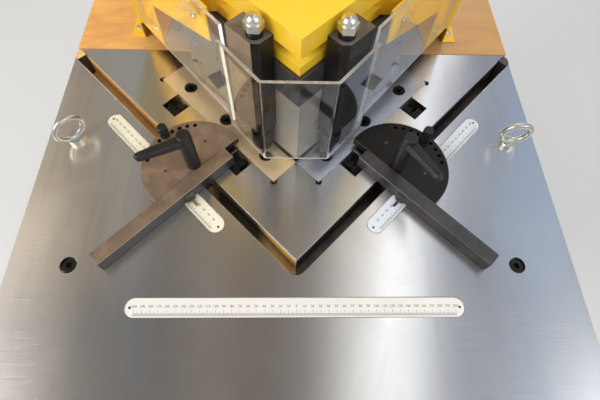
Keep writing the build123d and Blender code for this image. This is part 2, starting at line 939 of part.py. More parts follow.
def make_housing():
    """Side of the housing: wall, bottom flange and angled shield, folded from one sheet."""
    near = guard_thick * 2
    end = guard_length
    shield = upright(
        [(shield_start, shield_bar_front), (shield_window, shield_bar_rear),
         (shield_window, shield_bottom), (end, shield_bottom), (end, hood_top - sheet),
         (hood_start, hood_top - sheet), (hood_start, shield_top), (shield_start, shield_top)],
        near, near + sheet)
    for hole in screw_holes():
        shield -= hole
    wall = block(wall_half - sheet, wall_half, wall_front, wall_rear, 0, hood_top - sheet)
    flange = block(wall_half, wall_half + flange_width, wall_front, wall_rear, 0, sheet)
    corner = block(wall_half - near - sheet, wall_half - sheet, wall_front,
                   wall_front + near, shield_bottom, hood_top - sheet)
    screw = post(wall_half + flange_width / 2, wall_front + flange_screw_inset,
                 flange_screw_radius / 2 + hole_play, 0, sheet)
    return shield + wall + flange + corner - screw


def shield_edge(inwards):
    """Front end of the housing's angled sheet, a distance inwards from the guard line."""
    turn = radians(guard_angle)
    x = guard_half + hood_start * cos(turn) - inwards * sin(turn)
    y = guard_front + hood_start * sin(turn) + inwards * cos(turn)
    return x, y


def make_hood():
    roof_x, roof_y = shield_edge(guard_thick * 2)
    wall_x, wall_y = shield_edge(guard_thick * 2 + sheet)
    roof = slab(mirrored([(0, roof_y), (roof_x, roof_y), (wall_half, wall_front),
                          (wall_half, wall_rear)]), hood_top - sheet, hood_top)
    front = block(-wall_x, wall_x, wall_y, wall_y + sheet, hood_bottom, hood_top)
    lip = block(-wall_x, wall_x, wall_y, wall_y + hood_lip, hood_bottom, hood_bottom + sheet)
    return roof + front + lip


def louvres(width, count, pitch, near, far, z):
    """A column of slots through an upright sheet that lies between near and far."""
    slots = []
    for row in range(count):
        low = z + row * pitch
        slots.append(block(-width / 2, width / 2, near, far, low, low + pitch * 0.4))
    return slots


def make_rear_cover():
    inner = wall_half - sheet
    cover = block(-inner, inner, wall_rear - sheet, wall_rear, 0, hood_top - sheet)
    for slot in louvres(vent_width, vent_count, vent_pitch, wall_rear - sheet, wall_rear, vent_bottom):
        cover -= slot
    return cover


def make_guard_screws():
    screws = []
    screw = button_screw(guard_screw_radius, guard_screw_height, guard_thick + sheet + 2)
    for along, z in pane_screws:
        screws.append(on_guard(Pos(along, guard_thick, z) * Rot(90, 0, 0) * screw))
    deck = button_screw(flange_screw_radius, flange_screw_height, flange_screw_length - 2)
    screws.append(Pos(wall_half + flange_width / 2, wall_front + flange_screw_inset, sheet) * deck)
    return screws


housing = make_housing()
pane = make_pane()
guard_screws = make_guard_screws()
save("front_guard", make_front_guard())
save("pane_right", pane)
save("pane_left", left_of(pane))
save("housing_right", housing)
save("housing_left", left_of(housing))
save("hood", make_hood())
save("rear_cover", make_rear_cover())
save("guard_screws", *guard_screws, *[left_of(s) for s in guard_screws])


# Angle stops, drawn at the pivot: x outwards along the slot, y towards the ram

def at_stop(shape):
    return diagonal(Pos(stop_along, -slot_offset, 0) * shape)


def make_carriage():
    """Slot key with a pivot boss and a pad on the table, and the nut and stud that clamp it."""
    width = slot_width / 2 - slot_play
    low = carriage_play
    top = protractor_bottom - carriage_play
    web = carriage_web / 2
    key = block(-carriage_boss_radius, carriage_end, -width, width, -carriage_key_depth, low)
    boss = post(0, 0, carriage_boss_radius, low, top)
    pad = block(carriage_start, carriage_end, -carriage_width / 2, carriage_width / 2, low, top)
    body = key + boss + pad + block(0, carriage_start, -web, web, low, top)
    body -= post(0, 0, stud_radius + hole_play, -plate_thick, protractor_bottom)
    nut_top = -plate_thick - nut_gap
    nut = block(-nut_width / 2, nut_width / 2, -nut_width / 2, nut_width / 2, nut_top - nut_thick, nut_top)
    stud = nut + post(0, 0, stud_radius, nut_top, lever_hub_top - lever_hub_roof - stud_gap)
    return [at_stop(body), at_stop(stud)]


def make_protractor():
    plate = post(0, 0, protractor_radius, protractor_bottom, protractor_top)
    edge = fence_axis - fence_width / 2
    plate &= block(-edge, protractor_radius, -protractor_radius, protractor_radius,
                   protractor_bottom, protractor_top)
    plate = chamfer(plate.edges().group_by(Axis.Z)[-1], fence_chamfer)
    for step in range(-index_steps_each_way, index_steps_each_way + 1):
        turn = radians(step * index_step)
        plate -= post(index_radius * cos(turn), index_radius * sin(turn), index_hole_radius,
                      protractor_bottom, protractor_top)
    plate -= post(0, 0, stud_radius + hole_play, protractor_bottom, protractor_top)
    return at_stop(plate)


def make_fence():
    """Square bar with the pointer that reads the scale in the table."""
    x0 = -fence_axis - fence_width / 2
    x1 = x0 + fence_width
    bar = block(x0, x1, -fence_outer, fence_inner, fence_bottom, fence_top)
    bar = chamfer(bar.edges(), fence_chamfer)
    reading = slot_offset - angle_scale_offset
    reach = pointer_width / 2
    tongue = pointer_tongue / 2
    pointer = block(x0 - pointer_body, x0, reading - reach, reading + reach, fence_bottom,
                    fence_top - pointer_drop)
    pointer += block(x0 - pointer_length, x0, reading - tongue, reading + tongue, fence_bottom,
                     fence_bottom + pointer_thick)
    return [at_stop(bar), at_stop(pointer)]


def make_lever(world_angle):
    """Clamping lever: hub on the stud, arm rising outwards to a rounded grip."""
    hub = post(0, 0, lever_hub_radius, lever_hub_bottom, lever_hub_top)
    hub = fillet(hub.edges().group_by(Axis.Z)[-1], lever_hub_fillet)
    reach = lever_length - lever_grip_radius
    root = RectangleRounded(*lever_root, lever_corner)
    end = Pos(0, 0, reach) * RectangleRounded(*lever_end, lever_corner)
    arm = Plane(origin=(0, 0, lever_arm_level), z_dir=(reach, 0, lever_rise)) * loft([root, end])
    grip = Pos(reach, 0, lever_arm_level + lever_rise) * Sphere(lever_grip_radius)
    lever = hub + arm + grip
    lever -= post(0, 0, stud_radius + hole_play, lever_hub_bottom, lever_hub_top - lever_hub_roof)
    return Rot(0, 0, world_angle) * lever


def make_index_pin():
    """Plunger with a grooved knob, standing in the middle hole of the protractor."""
    pin = post(index_radius, 0, index_hole_radius - running_gap, protractor_bottom + pin_gap,
               pin_groove_low)
    knob = post(index_radius, 0, pin_knob_radius, protractor_top + pin_gap, pin_top)
    knob = chamfer(knob.edges().group_by(Axis.Z)[-1], pin_knob_chamfer)
    groove = post(index_radius, 0, pin_knob_radius + 1, pin_groove_low, pin_groove_high)
    groove -= post(index_radius, 0, pin_knob_radius - pin_groove_depth, pin_groove_low, pin_groove_high)
    return at_stop(pin + knob - groove)


carriage = make_carriage()
protractor = make_protractor()
fence = make_fence()
index_pin = make_index_pin()
save("stop_carriage_right", *carriage)
save("stop_carriage_left", *[left_of(piece) for piece in carriage])
save("protractor_right", protractor)
save("protractor_left", left_of(protractor))
save("fence_right", *fence)
save("fence_left", *[left_of(piece) for piece in fence])
save("clamp_lever_right", Pos(stop_point[0], stop_point[1], 0) * make_lever(right_lever_angle))
save("clamp_lever_left", Pos(-stop_point[0], stop_point[1], 0) * make_lever(left_lever_angle))
save("index_pin_right", index_pin)
save("index_pin_left", left_of(index_pin))


# Base: angle bars welded end to end, panels and feet

def angle_across(half_length, outer_y, inwards, top):
    """Angle bar across the machine, one leg upright at outer_y and the other level at its top."""
    web = sorted((outer_y, outer_y + inwards * angle_thick))
    toe = sorted((outer_y, outer_y + inwards * angle_size))
    bar = block(-half_length, half_length, web[0], web[1], top - angle_size, top)
    return bar + block(-half_length, half_length, toe[0], toe[1], top - angle_thick, top)


def angle_along(front, rear, top):
    """Right-hand angle bar along the machine's side."""
    x = base_half_width
    bar = block(x - angle_thick, x, front, rear, top - angle_size, top)
    return bar + block(x - angle_size, x, front, rear, top - angle_thick, top)


def corner_post(outer_y, inwards):
    x = base_half_width
    web = sorted((outer_y, outer_y + inwards * angle_thick))
    toe = sorted((outer_y, outer_y + inwards * angle_size))
    post_bar = block(x - angle_thick, x, toe[0], toe[1], base_bottom, ring_top)
    return post_bar + block(x - angle_size, x, web[0], web[1], base_bottom, ring_top)


def foot_plate(outer_y, inwards):
    """Plate in the foot of a corner post, drilled for the levelling foot's stud."""
    x = base_half_width
    span = sorted((outer_y + inwards * angle_thick, outer_y + inwards * angle_size))
    plate = block(x - angle_size, x - angle_thick, span[0], span[1], base_bottom, foot_plate_top)
    return plate - post(foot_x, outer_y + inwards * foot_inset, foot_stud_radius + hole_play,
                        base_bottom, foot_plate_top)


def make_runner():
    """Right-hand drawer runner with its upright guide."""
    front = base_front + angle_thick
    rear = drawer_rear + angle_size / 2
    outer = drawer_half + runner_overlap
    shelf = block(drawer_half - runner_overlap, outer, front, rear, deck_level, runner_top)
    return shelf + block(drawer_half + drawer_gap, outer, front, rear, deck_level,
                         runner_top + runner_guide)


def make_table_pads():
    """Flat bars welded on the top ring, between the rails, that carry the table plates."""
    x = base_half_width
    w = angle_size
    reach = (slot_offset + rail_width / 2 + rail_gap) * root_two
    near = (slot_offset - rail_width / 2 - rail_gap) * root_two
    top = -plate_thick
    front = block(x - w, x, base_front + w, x - w - reach, ring_top, top)
    front -= post(table_bolt_x, table_bolt_y, thread_radius + hole_play, ring_top, top)
    rear = block(x - w, x, x - near, base_rear - w, ring_top, top)
    return [block(-x, x, base_front, base_front + w, ring_top, top),
            block(-x, x, base_rear - w, base_rear, ring_top, top),
            front, left_of(front), rear, left_of(rear)]


def make_base_frame():
    inner = base_half_width - angle_size
    front = base_front + angle_size
    rear = base_rear - angle_size
    bars = []
    for top in (ring_top, deck_level):
        bars.append(angle_across(inner, base_front, 1, top))
        bars.append(angle_across(inner, base_rear, -1, top))
    bars.append(angle_across(inner, jaw_front, 1, jaw_bottom))
    bars.append(angle_across(inner, frame_rear, -1, jaw_bottom))
    bars.append(angle_across(inner, drawer_rear, 1, deck_level))
    sides = [angle_along(front, rear, top) for top in (ring_top, jaw_bottom, deck_level)]
    for outer_y, inwards in ((base_front, 1), (base_rear, -1)):
        sides.append(corner_post(outer_y, inwards))
        sides.append(foot_plate(outer_y, inwards))
    sides.append(make_runner())
    return bars + sides + [left_of(side) for side in sides] + make_table_pads()


def make_feet():
    feet = []
    pad_top = floor + foot_pad_height
    for side in (1, -1):
        for y in (base_front + foot_inset, base_rear - foot_inset):
            x = side * foot_x
            pad = post(x, y, foot_radius, floor, pad_top)
            pad = chamfer(pad.edges().group_by(Axis.Z)[-1], foot_pad_chamfer)
            stud = post(x, y, foot_stud_radius, pad_top, foot_plate_top + foot_stud_rise)
            nut = extrude(RegularPolygon(foot_nut_radius, 6), foot_nut_height)
            feet.append(pad + stud + Pos(x, y, base_bottom - foot_nut_height) * nut)
    return feet


def make_side_panel():
    x = base_half_width
    panel = block(x, x + panel_thick, base_front, base_rear, base_bottom + panel_gap, ring_top - panel_gap)
    for row in range(side_vent_count):
        high = ring_top - side_vent_drop - row * side_vent_pitch
        panel -= block(x, x + panel_thick, side_vent_front, side_vent_rear,
                       high, high + side_vent_pitch * 0.4)
    return panel


def drawer_levels():
    low = runner_top + drawer_seat
    return low, low + drawer_height


def make_front_panel():
    low, high = drawer_levels()
    edge = base_half_width + panel_thick
    front = base_front - panel_thick
    panel = block(-edge, edge, front, base_front, base_bottom + panel_gap, ring_top - panel_gap)
    side = drawer_half + drawer_window
    return panel - block(-side, side, front, base_front, low - drawer_window, high + drawer_window)


def make_rear_panel():
    edge = base_half_width + panel_thick
    rear = base_rear + panel_thick
    panel = block(-edge, edge, base_rear, rear, base_bottom + panel_gap, ring_top - panel_gap)
    for slot in louvres(rear_vent_width, rear_vent_count, rear_vent_pitch, base_rear, rear,
                        base_bottom + rear_vent_rise):
        panel -= slot
    return panel


def make_drawer():
    low, high = drawer_levels()
    t = drawer_sheet
    front = base_front - panel_thick
    back = drawer_rear - drawer_back_gap
    face_front = front - drawer_seat - t
    tray = block(-drawer_half, drawer_half, front - drawer_seat, back, low, high)
    tray -= block(-drawer_half + t, drawer_half - t, front + t, back - t, low + t, high)
    side = drawer_half + drawer_face_lap
    tray += block(-side, side, face_front, front - drawer_seat, low - drawer_face_drop,
                  high + drawer_face_lap)
    grip_top = high - grip_drop
    grip = block(-grip_half, grip_half, face_front - grip_depth, face_front, grip_top - grip_bar, grip_top)
    grip -= block(-grip_half + grip_bar, grip_half - grip_bar, face_front - grip_depth + grip_bar,
                  face_front, grip_top - grip_bar, grip_top)
    return tray + grip


side_panel = make_side_panel()
save("base_frame", *make_base_frame())
save("levelling_feet", *make_feet())
save("side_panels", side_panel, left_of(side_panel))
save("front_panel", make_front_panel())
save("rear_panel", make_rear_panel())
save("scrap_drawer", make_drawer())


# Power pack in the base

tank_top = jaw_bottom - angle_size - motor_clearance - 2 * motor_radius - motor_rise
motor_y = (tank_front + tank_rear) / 2 + motor_offset
motor_z = tank_top + motor_radius + motor_rise
right_pipe_y = tank_front + right_pipe_inset
left_pipe_y = tank_front + left_pipe_inset


def make_tank():
    t = tank_wall
    inset = tank_cap_inset
    tank = block(-tank_half, tank_half, tank_front, tank_rear, deck_level, tank_top - t)
    tank -= block(-tank_half + t, tank_half - t, tank_front + t, tank_rear - t, deck_level + t, tank_top)
    lid = block(-tank_half, tank_half, tank_front, tank_rear, tank_top - t, tank_top)
    cap = post(-tank_half + inset, tank_rear - inset, tank_cap_radius, tank_top, tank_top + tank_cap_height)
    return tank, lid + cap


def make_motor():
    """Finned motor lying on the tank lid, with its foot, fan cowl and terminal box."""
    start = motor_end - motor_length
    middle = start + motor_length / 2
    core = motor_radius - motor_fin
    barrel = Pos(start, motor_y, motor_z) * Rot(0, 90, 0)
    body = barrel * rod_along(core, 0, motor_length)
    for turn in range(0, 360, 15):
        fin = block(core - 2, motor_radius, -motor_fin_thick / 2, motor_fin_thick / 2,
                    motor_cowl + 2, motor_length - motor_fin_end)
        body += barrel * Rot(0, 0, turn) * fin
    body += barrel * rod_along(motor_radius, 0, motor_cowl)
    body += block(middle - motor_foot_length / 2, middle + motor_foot_length / 2,
                  motor_y - motor_foot_half, motor_y + motor_foot_half,
                  tank_top, tank_top + motor_rise + motor_fin + 1)
    return body + block(middle - terminal_length / 2, middle + terminal_length / 2,
                        motor_y - motor_radius - 2, motor_y - motor_radius + terminal_depth,
                        motor_z - terminal_height / 2, motor_z + terminal_height / 2)


def make_pump():
    """Pump on the motor's end and the valve block that feeds the cylinder."""
    pump = Pos(motor_end, motor_y, motor_z) * Rot(0, 90, 0)
    body = pump * rod_along(pump_flange_radius, 0, pump_flange_thick)
    body += pump * rod_along(pump_radius, 0, pump_length)
    foot_start = motor_end + pump_flange_thick + 4
    body += block(foot_start, foot_start + pump_foot, motor_y - pump_foot * 0.7,
                  motor_y + pump_foot * 0.7, tank_top, motor_z)
    reach = valve_width / 2
    valve = block(pipe_x - reach, pipe_x + reach, right_pipe_y - valve_depth / 2,
                  right_pipe_y + valve_depth / 2, tank_top, tank_top + valve_height)
    coil = Pos(pipe_x + reach, right_pipe_y, tank_top + coil_level) * Rot(0, 90, 0)
    return body, valve + coil * rod_along(coil_radius, 0, coil_length)


def make_pipe(side, y, low):
    x = side * pipe_x
    end = side * cylinder_radius
    z = pipe_height
    path = FilletPolyline((x, y, low), (x, y, z), (x, cylinder_y, z), (end, cylinder_y, z),
                          radius=pipe_bend)
    return sweep(Plane(origin=(x, y, low), z_dir=(0, 0, 1)) * Circle(pipe_radius), path)


save("oil_tank", *make_tank())
save("pump_motor", make_motor())
save("pump_and_valve", *make_pump())
save("hydraulic_pipes", make_pipe(1, right_pipe_y, tank_top + valve_height),
     make_pipe(-1, left_pipe_y, tank_top))


# Control box under the front of the table

box_front = base_front - panel_thick - box_depth
box_middle = box_top - box_height / 2


def facing(x, shape):
    """Turn a shape drawn along Z to point at the operator from the box's face."""
    return Pos(x, box_front, box_middle) * Rot(90, 0, 0) * shape


def make_control_box():
    back = base_front - panel_thick
    low = box_top - box_height
    case = block(-box_half, box_half, box_front, back, low, box_top)
    case = fillet(case.edges().filter_by(Axis.Y), box_corner)
    case -= block(-box_half + box_wall, box_half - box_wall, box_front + box_wall, back,
                  low + box_wall, box_top - box_wall)
    for x in (stop_button_x, start_button_x, switch_x):
        case -= facing(x, Cylinder(button_shaft_radius + button_play, 6 * box_wall))
    return case


def make_stop_button():
    cap_top = stop_cap_seat + stop_cap_height
    cap = rod_along(stop_cap_radius, stop_cap_seat, cap_top)
    cap = fillet(cap.edges().group_by(Axis.Z)[-1], stop_cap_height / 2)
    return facing(stop_button_x, cap + rod_along(button_shaft_radius, -button_shaft_depth, cap_top - 2))


def make_start_button():
    cap_top = start_cap_seat + start_cap_height
    cap = rod_along(start_cap_radius, start_cap_seat, cap_top)
    cap = fillet(cap.edges().group_by(Axis.Z)[-1], start_cap_height / 4)
    return facing(start_button_x, cap + rod_along(button_shaft_radius, -button_shaft_depth, cap_top - 2))


def make_switch():
    disc = rod_along(switch_radius, switch_seat, switch_disc)
    reach = switch_radius - 2
    bar = block(-switch_bar / 2, switch_bar / 2, -reach, reach, switch_disc, switch_top)
    bar = fillet(bar.edges().group_by(Axis.Z)[-1], switch_bar / 5)
    return facing(switch_x, disc + bar + rod_along(button_shaft_radius, -button_shaft_depth, switch_disc))


save("control_box", make_control_box())
save("stop_button", make_stop_button())
save("start_button", make_start_button())
save("main_switch", make_switch())
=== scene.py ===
import json
import math
import bmesh
import bpy
from mathutils import Matrix, Vector


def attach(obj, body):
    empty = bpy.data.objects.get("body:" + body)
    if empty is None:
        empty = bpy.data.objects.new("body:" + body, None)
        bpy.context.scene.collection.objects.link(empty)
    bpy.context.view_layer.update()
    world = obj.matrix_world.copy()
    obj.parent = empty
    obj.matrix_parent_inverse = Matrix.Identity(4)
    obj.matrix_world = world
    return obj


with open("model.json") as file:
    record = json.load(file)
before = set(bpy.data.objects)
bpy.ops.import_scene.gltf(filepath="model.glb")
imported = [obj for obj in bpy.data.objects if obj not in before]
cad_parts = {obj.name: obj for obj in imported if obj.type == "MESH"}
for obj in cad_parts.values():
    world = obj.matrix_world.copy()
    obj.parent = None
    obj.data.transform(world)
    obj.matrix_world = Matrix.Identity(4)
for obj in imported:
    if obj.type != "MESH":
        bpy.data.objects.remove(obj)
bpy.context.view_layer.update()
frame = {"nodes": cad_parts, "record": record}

nodes = frame["nodes"]

# The notch tip, where the two cutting edges meet on the table top, is the origin for the small
# pieces and for the tests that pick faces. Those places are in millimetres: X right, Y away from
# the operator, Z up. The materials, the camera and the lamps go by the scene's own metres.
MM = 0.001
TIP = Vector((0.0, -0.115, 0.9))
ROOT_TWO = math.sqrt(2.0)

# Sizes of the solids that the small pieces sit on and the face tests go by
FRONT_SCALE_Y = -207.0
FRONT_SCALE_REACH = 200
ANGLE_SCALE_OFFSET = 146.8
ANGLE_SCALE_START = -4.0
ANGLE_SCALE_END = 258.0
SCALE_TOP = -0.2
SLOT_OFFSET = 113.35
SLOT_WIDTH = 16.0
SLOT_RIM_DEPTH = 1.3
RAIL_FLOOR_DEPTH = 44.0
STOP_ALONG = 90.7
POINTER_LEAD = 14.0
PROTRACTOR_TOP = 20.4
INDEX_RADIUS = 66.0
PIN_KNOB_RADIUS = 6.5
HOLD_NECK_TOP = 232.0
STUD_BRIGHT_FROM = 20.0
GUARD_RUN = (217.5, 254.0)

# Marks printed on the scales. TICK_FOOT is how far their feet lie from the scale's middle line,
# and the numerals stand above those feet by their rise.
TICK_FOOT = 10.0
TICK_WIDTH = 0.35
TICK_HEIGHT = 0.05
TICK_LENGTHS = {10: 7.0, 5: 5.0, 1: 3.2}
NUMERAL_STEP = 10
NUMERAL_SIZE = 4.6
FRONT_NUMERAL_RISE = 11.5
ANGLE_NUMERAL_RISE = 12.5
ANGLE_MARKS_INSET = 12

# Domed heads: radius and height as shares, from the rim to the last ring below the crown
HEAD_RINGS = ((1.0, 0.0), (1.0, 0.45), (0.86, 0.80), (0.55, 0.97))
HEAD_SIDES = 20
RIVET_RADIUS = 1.7
RIVET_HEIGHT = 0.35
FRONT_RIVET_GAP = 5.5
ANGLE_RIVET_INSET = 7
SCREW_RADIUS = 2.4
SCREW_HEIGHT = 0.7
# Distance from the fence's pivot, and degrees round it
SCREW_PLACES = ((50.0, 10.0), (40.0, 62.0), (40.0, -62.0))

# Knurled bands below and above the groove in the index pin's knob
KNURL_BANDS = ((21.5, 28.5), (32.5, 42.5))
KNURL_POINTS = 72
KNURL_CREST = 0.55
KNURL_VALLEY = 0.15
KNURL_CHAMFER = 0.8
KNURL_INSET = 0.35


def at(x, y, z):
    """A place given from the notch tip, as a place in the scene."""
    return TIP + Vector((x, y, z)) * MM


def along_slot(side, along, across):
    """X and Y of a place in the 45 degree frame of the right (1) or left (-1) side."""
    return side * (along - across) / ROOT_TWO, (along + across) / ROOT_TWO


def add_node(tree, kind, **settings):
    """A new node in a shader tree, with its settings."""
    node = tree.nodes.new(kind)
    for key, value in settings.items():
        setattr(node, key, value)
    return node


def mix_shaders(tree, share, first, second):
    """Two shaders mixed; the second shows where share is 1."""
    node = add_node(tree, "ShaderNodeMixShader")
    for index, source in enumerate((share, first, second)):
        tree.links.new(source, node.inputs[index])
    return node.outputs[0]


# Materials

# The rounded normal's dot product with the real one, where an edge starts and where it is full
EDGE_STARTS = 0.985
EDGE_IS_FULL = 0.80
BEVEL_SAMPLES = 4


def scaled(colour, factor, lift=0.0):
    """A colour made darker or paler."""
    return [channel * factor + lift for channel in colour]


class Look:
    """A material with its shader and the few texture nodes that drive it."""

    def __init__(self, name, colour, roughness, metallic=0.0, **constants):
        self.material = bpy.data.materials.new(name)
        self.material.use_nodes = True
        self.tree = self.material.node_tree
        self.shader = self.tree.nodes["Principled BSDF"]
        self.colour = colour
        self.set("Base Color", (*colour, 1.0))
        self.set("Roughness", roughness)
        self.set("Metallic", metallic)
        for socket, value in constants.items():
            self.set(socket.replace("_", " "), value)
        self.place = self.add("ShaderNodeTexCoord").outputs["Object"]
        self.heights = []

    def set(self, socket, value):
        self.shader.inputs[socket].default_value = value

    def add(self, kind, **settings):
        return add_node(self.tree, kind, **settings)

    def link(self, source, target):
        self.tree.links.new(source, target)

    def feed(self, node, socket, value):
        """Links a socket, or sets it to a number or a colour."""
        if isinstance(value, bpy.types.NodeSocket):
            self.link(value, node.inputs[socket])
        else:
            node.inputs[socket].default_value = value

    def noise(self, size, stretch=(1, 1, 1), detail=3.0, warp=0.0, turn=0.0):
        """Noise whose patches are about size millimetres wide, drawn out by stretch."""
        mapping = self.add("ShaderNodeMapping")
        mapping.inputs["Rotation"].default_value = (0, 0, math.radians(turn))
        mapping.inputs["Scale"].default_value = [1 / s for s in stretch]
        self.link(self.place, mapping.inputs["Vector"])
        noise = self.add("ShaderNodeTexNoise")
        noise.inputs["Scale"].default_value = 1 / (size * MM)
        noise.inputs["Detail"].default_value = detail
        noise.inputs["Distortion"].default_value = warp
        self.link(mapping.outputs["Vector"], noise.inputs["Vector"])
        return noise.outputs["Fac"]

    def axis(self, name):
        """X, Y or Z of the place, in metres as the part stands at rest."""
        node = self.add("ShaderNodeSeparateXYZ")
        self.link(self.place, node.inputs[0])
        return node.outputs[name]

    def range(self, value, low, high, start=0.0, end=1.0):
        """Remaps low..high to start..end and holds it there outside."""
        node = self.add("ShaderNodeMapRange")
        self.feed(node, "Value", value)
        limits = {"From Min": low, "From Max": high, "To Min": start, "To Max": end}
        for socket, number in limits.items():
            node.inputs[socket].default_value = number
        return node.outputs["Result"]

    def maths(self, operation, first, second=0.0):
        node = self.add("ShaderNodeMath", operation=operation)
        self.feed(node, 0, first)
        self.feed(node, 1, second)
        return node.outputs[0]

    def mix(self, share, first, second):
        """Two colours mixed; each is a socket or an RGB triple."""
        node = self.add("ShaderNodeMix", data_type="RGBA")
        self.feed(node, 0, share)
        for index, colour in ((6, first), (7, second)):
            is_socket = isinstance(colour, bpy.types.NodeSocket)
            self.feed(node, index, colour if is_socket else (*colour, 1.0))
        return node.outputs[2]

    def edge(self, radius):
        """About 1 on a sharp edge and 0 on a flat, within radius millimetres."""
        bevel = self.add("ShaderNodeBevel", samples=BEVEL_SAMPLES)
        bevel.inputs["Radius"].default_value = radius * MM
        normal = self.add("ShaderNodeNewGeometry").outputs["Normal"]
        dot = self.add("ShaderNodeVectorMath", operation="DOT_PRODUCT")
        self.link(bevel.outputs["Normal"], dot.inputs[0])
        self.link(normal, dot.inputs[1])
        return self.range(dot.outputs["Value"], EDGE_STARTS, EDGE_IS_FULL)

    def tint(self, share, colour):
        """Lays another colour over what is there."""
        self.colour = self.mix(share, self.colour, colour)
        self.link(self.colour, self.shader.inputs["Base Color"])

    def wash(self, value, low, high, share, colour):
        """Lays a colour over what is there: none where value is low, share where it is high."""
        self.tint(self.range(value, low, high, 0.0, share), colour)

    def rub_edges(self, radius, share, colour):
        """Lays a colour along the sharp edges."""
        self.tint(self.maths("MULTIPLY", self.edge(radius), share), colour)

    def rough_from(self, socket):
        self.link(socket, self.shader.inputs["Roughness"])

    def raise_by(self, height, depth):
        """Adds relief: height 0..1 stands depth millimetres proud."""
        self.heights.append((height, depth))

    def stretch_glints(self, x, y, z):
        """Draws highlights out in one direction, which lies across the ground grain."""
        vector = self.add("ShaderNodeCombineXYZ")
        for index, value in enumerate((x, y, z)):
            vector.inputs[index].default_value = value
        self.link(vector.outputs[0], self.shader.inputs["Tangent"])

    def done(self, rounding):
        """Rounds the hard edges by millimetres, stacks the relief and hands over the material."""
        bevel = self.add("ShaderNodeBevel", samples=BEVEL_SAMPLES)
        bevel.inputs["Radius"].default_value = rounding * MM
        normal = bevel.outputs["Normal"]
        for height, depth in self.heights:
            bump = self.add("ShaderNodeBump")
            bump.inputs["Strength"].default_value = 1.0
            bump.inputs["Distance"].default_value = depth * MM
            self.link(height, bump.inputs["Height"])
            self.link(normal, bump.inputs["Normal"])
            normal = bump.outputs["Normal"]
        self.link(normal, self.shader.inputs["Normal"])
        return self.material


TABLE_STEEL = (0.63, 0.62, 0.61)
TABLE_OILED = (0.57, 0.555, 0.54)
TABLE_GROUND = (0.74, 0.74, 0.75)
TABLE_DRAGGED = (0.50, 0.49, 0.48)
TABLE_SCRATCHED = (0.76, 0.76, 0.76)
TABLE_EDGE = (0.86, 0.84, 0.80)

# Painted reflections on the table's steel, in place of what the room and the yellow machine would
# mirror in it: the colour, its share, and the two places along X and the two along Y between
# which it comes in
WARM_FRONT_LEFT = ((1.0, 0.91, 0.78), 0.95, (-0.12, -0.24), (-0.34, -0.22))
COOL_FRONT_RIGHT = ((0.84, 0.90, 0.98), 0.35, (0.20, 0.28), (-0.34, -0.22))
GOLDEN_INNER_LEFT = ((1.0, 0.84, 0.50), 0.95, (-0.09, -0.14), (-0.20, -0.12))
PALE_INNER_CORNER = ((1.0, 0.94, 0.86), 0.95, (-0.245, -0.258), (-0.20, -0.12))


def ground_steel(name, *painted_reflections):
    """Table steel: fine ground lines from side to side, clouds of oil, worn rub marks and the
    painted reflections it is given.
    """
    look = Look(name, TABLE_STEEL, roughness=0.23, metallic=1.0, Anisotropic=0.9)
    look.stretch_glints(0, 1, 0)
    grain = look.noise(1.0, stretch=(60, 1, 1), detail=2)
    clouds = look.noise(120, detail=4, warp=0.6)
    drag = look.noise(24, stretch=(1, 12, 1), detail=3)
    look.wash(clouds, 0.35, 0.70, 1.0, TABLE_OILED)
    for colour, share, fade_x, fade_y in painted_reflections:
        cover_x = look.range(look.axis("X"), *fade_x)
        cover_y = look.range(look.axis("Y"), *fade_y)
        cover = look.maths("MULTIPLY", cover_x, cover_y)
        look.tint(look.maths("MULTIPLY", cover, share), colour)
    look.wash(grain, 0.40, 0.75, 0.12, TABLE_GROUND)
    look.wash(drag, 0.52, 0.80, 0.30, TABLE_DRAGGED)
    scratch = look.noise(9, stretch=(14, 0.12, 1), detail=1, turn=24)
    look.wash(scratch, 0.72, 0.78, 0.25, TABLE_SCRATCHED)
    look.tint(look.edge(1.0), TABLE_EDGE)
    smears = look.range(clouds, 0.3, 0.7, 0.20, 0.26)
    look.rough_from(look.maths("ADD", smears, look.range(grain, 0.3, 0.7, -0.01, 0.02)))
    look.raise_by(grain, depth=0.0004)
    return look.done(rounding=0.5)


def tool_steel(name, colour, glints, metallic=1.0):
    """Lower blades: ground along the cutting edge, lightly oiled, with bright edges."""
    look = Look(name, colour, roughness=0.27, metallic=metallic, Anisotropic=0.6)
    look.stretch_glints(*glints)
    grain = look.noise(0.6, detail=3)
    oil = look.noise(60, detail=3, warp=0.6)
    look.wash(oil, 0.40, 0.72, 0.6, scaled(colour, 0.82))
    look.wash(grain, 0.50, 0.80, 0.15, scaled(colour, 0.7))
    look.tint(look.edge(0.8), (0.86, 0.85, 0.83))
    look.rough_from(look.range(oil, 0.3, 0.7, 0.24, 0.32))
    look.raise_by(grain, depth=0.002)
    return look.done(rounding=0.35)


# How far from the machine's middle the knives stay bright, and where they are fully dark
KNIFE_BRIGHT_TO = 0.029
KNIFE_DARK_FROM = 0.037


def knife_steel(name):
    """Upper knives: ground and lightly oiled, bright beside the nose and darkened to near black
    further back.
    """
    look = Look(name, (0.40, 0.365, 0.32), roughness=0.34, metallic=0.45)
    grain = look.noise(0.6, stretch=(1, 1, 6), detail=3)
    oil = look.noise(40, detail=3, warp=0.6)
    look.wash(oil, 0.40, 0.72, 0.4, (0.32, 0.29, 0.26))
    look.wash(grain, 0.50, 0.80, 0.2, (0.28, 0.255, 0.23))
    reach = look.maths("ABSOLUTE", look.axis("X"))
    look.wash(reach, KNIFE_BRIGHT_TO, KNIFE_DARK_FROM, 0.95, (0.035, 0.032, 0.03))
    look.tint(look.edge(0.8), (0.72, 0.70, 0.66))
    look.rough_from(look.range(oil, 0.3, 0.7, 0.30, 0.42))
    look.raise_by(grain, depth=0.002)
    return look.done(rounding=0.35)


PRIMER = (0.20, 0.17, 0.14)


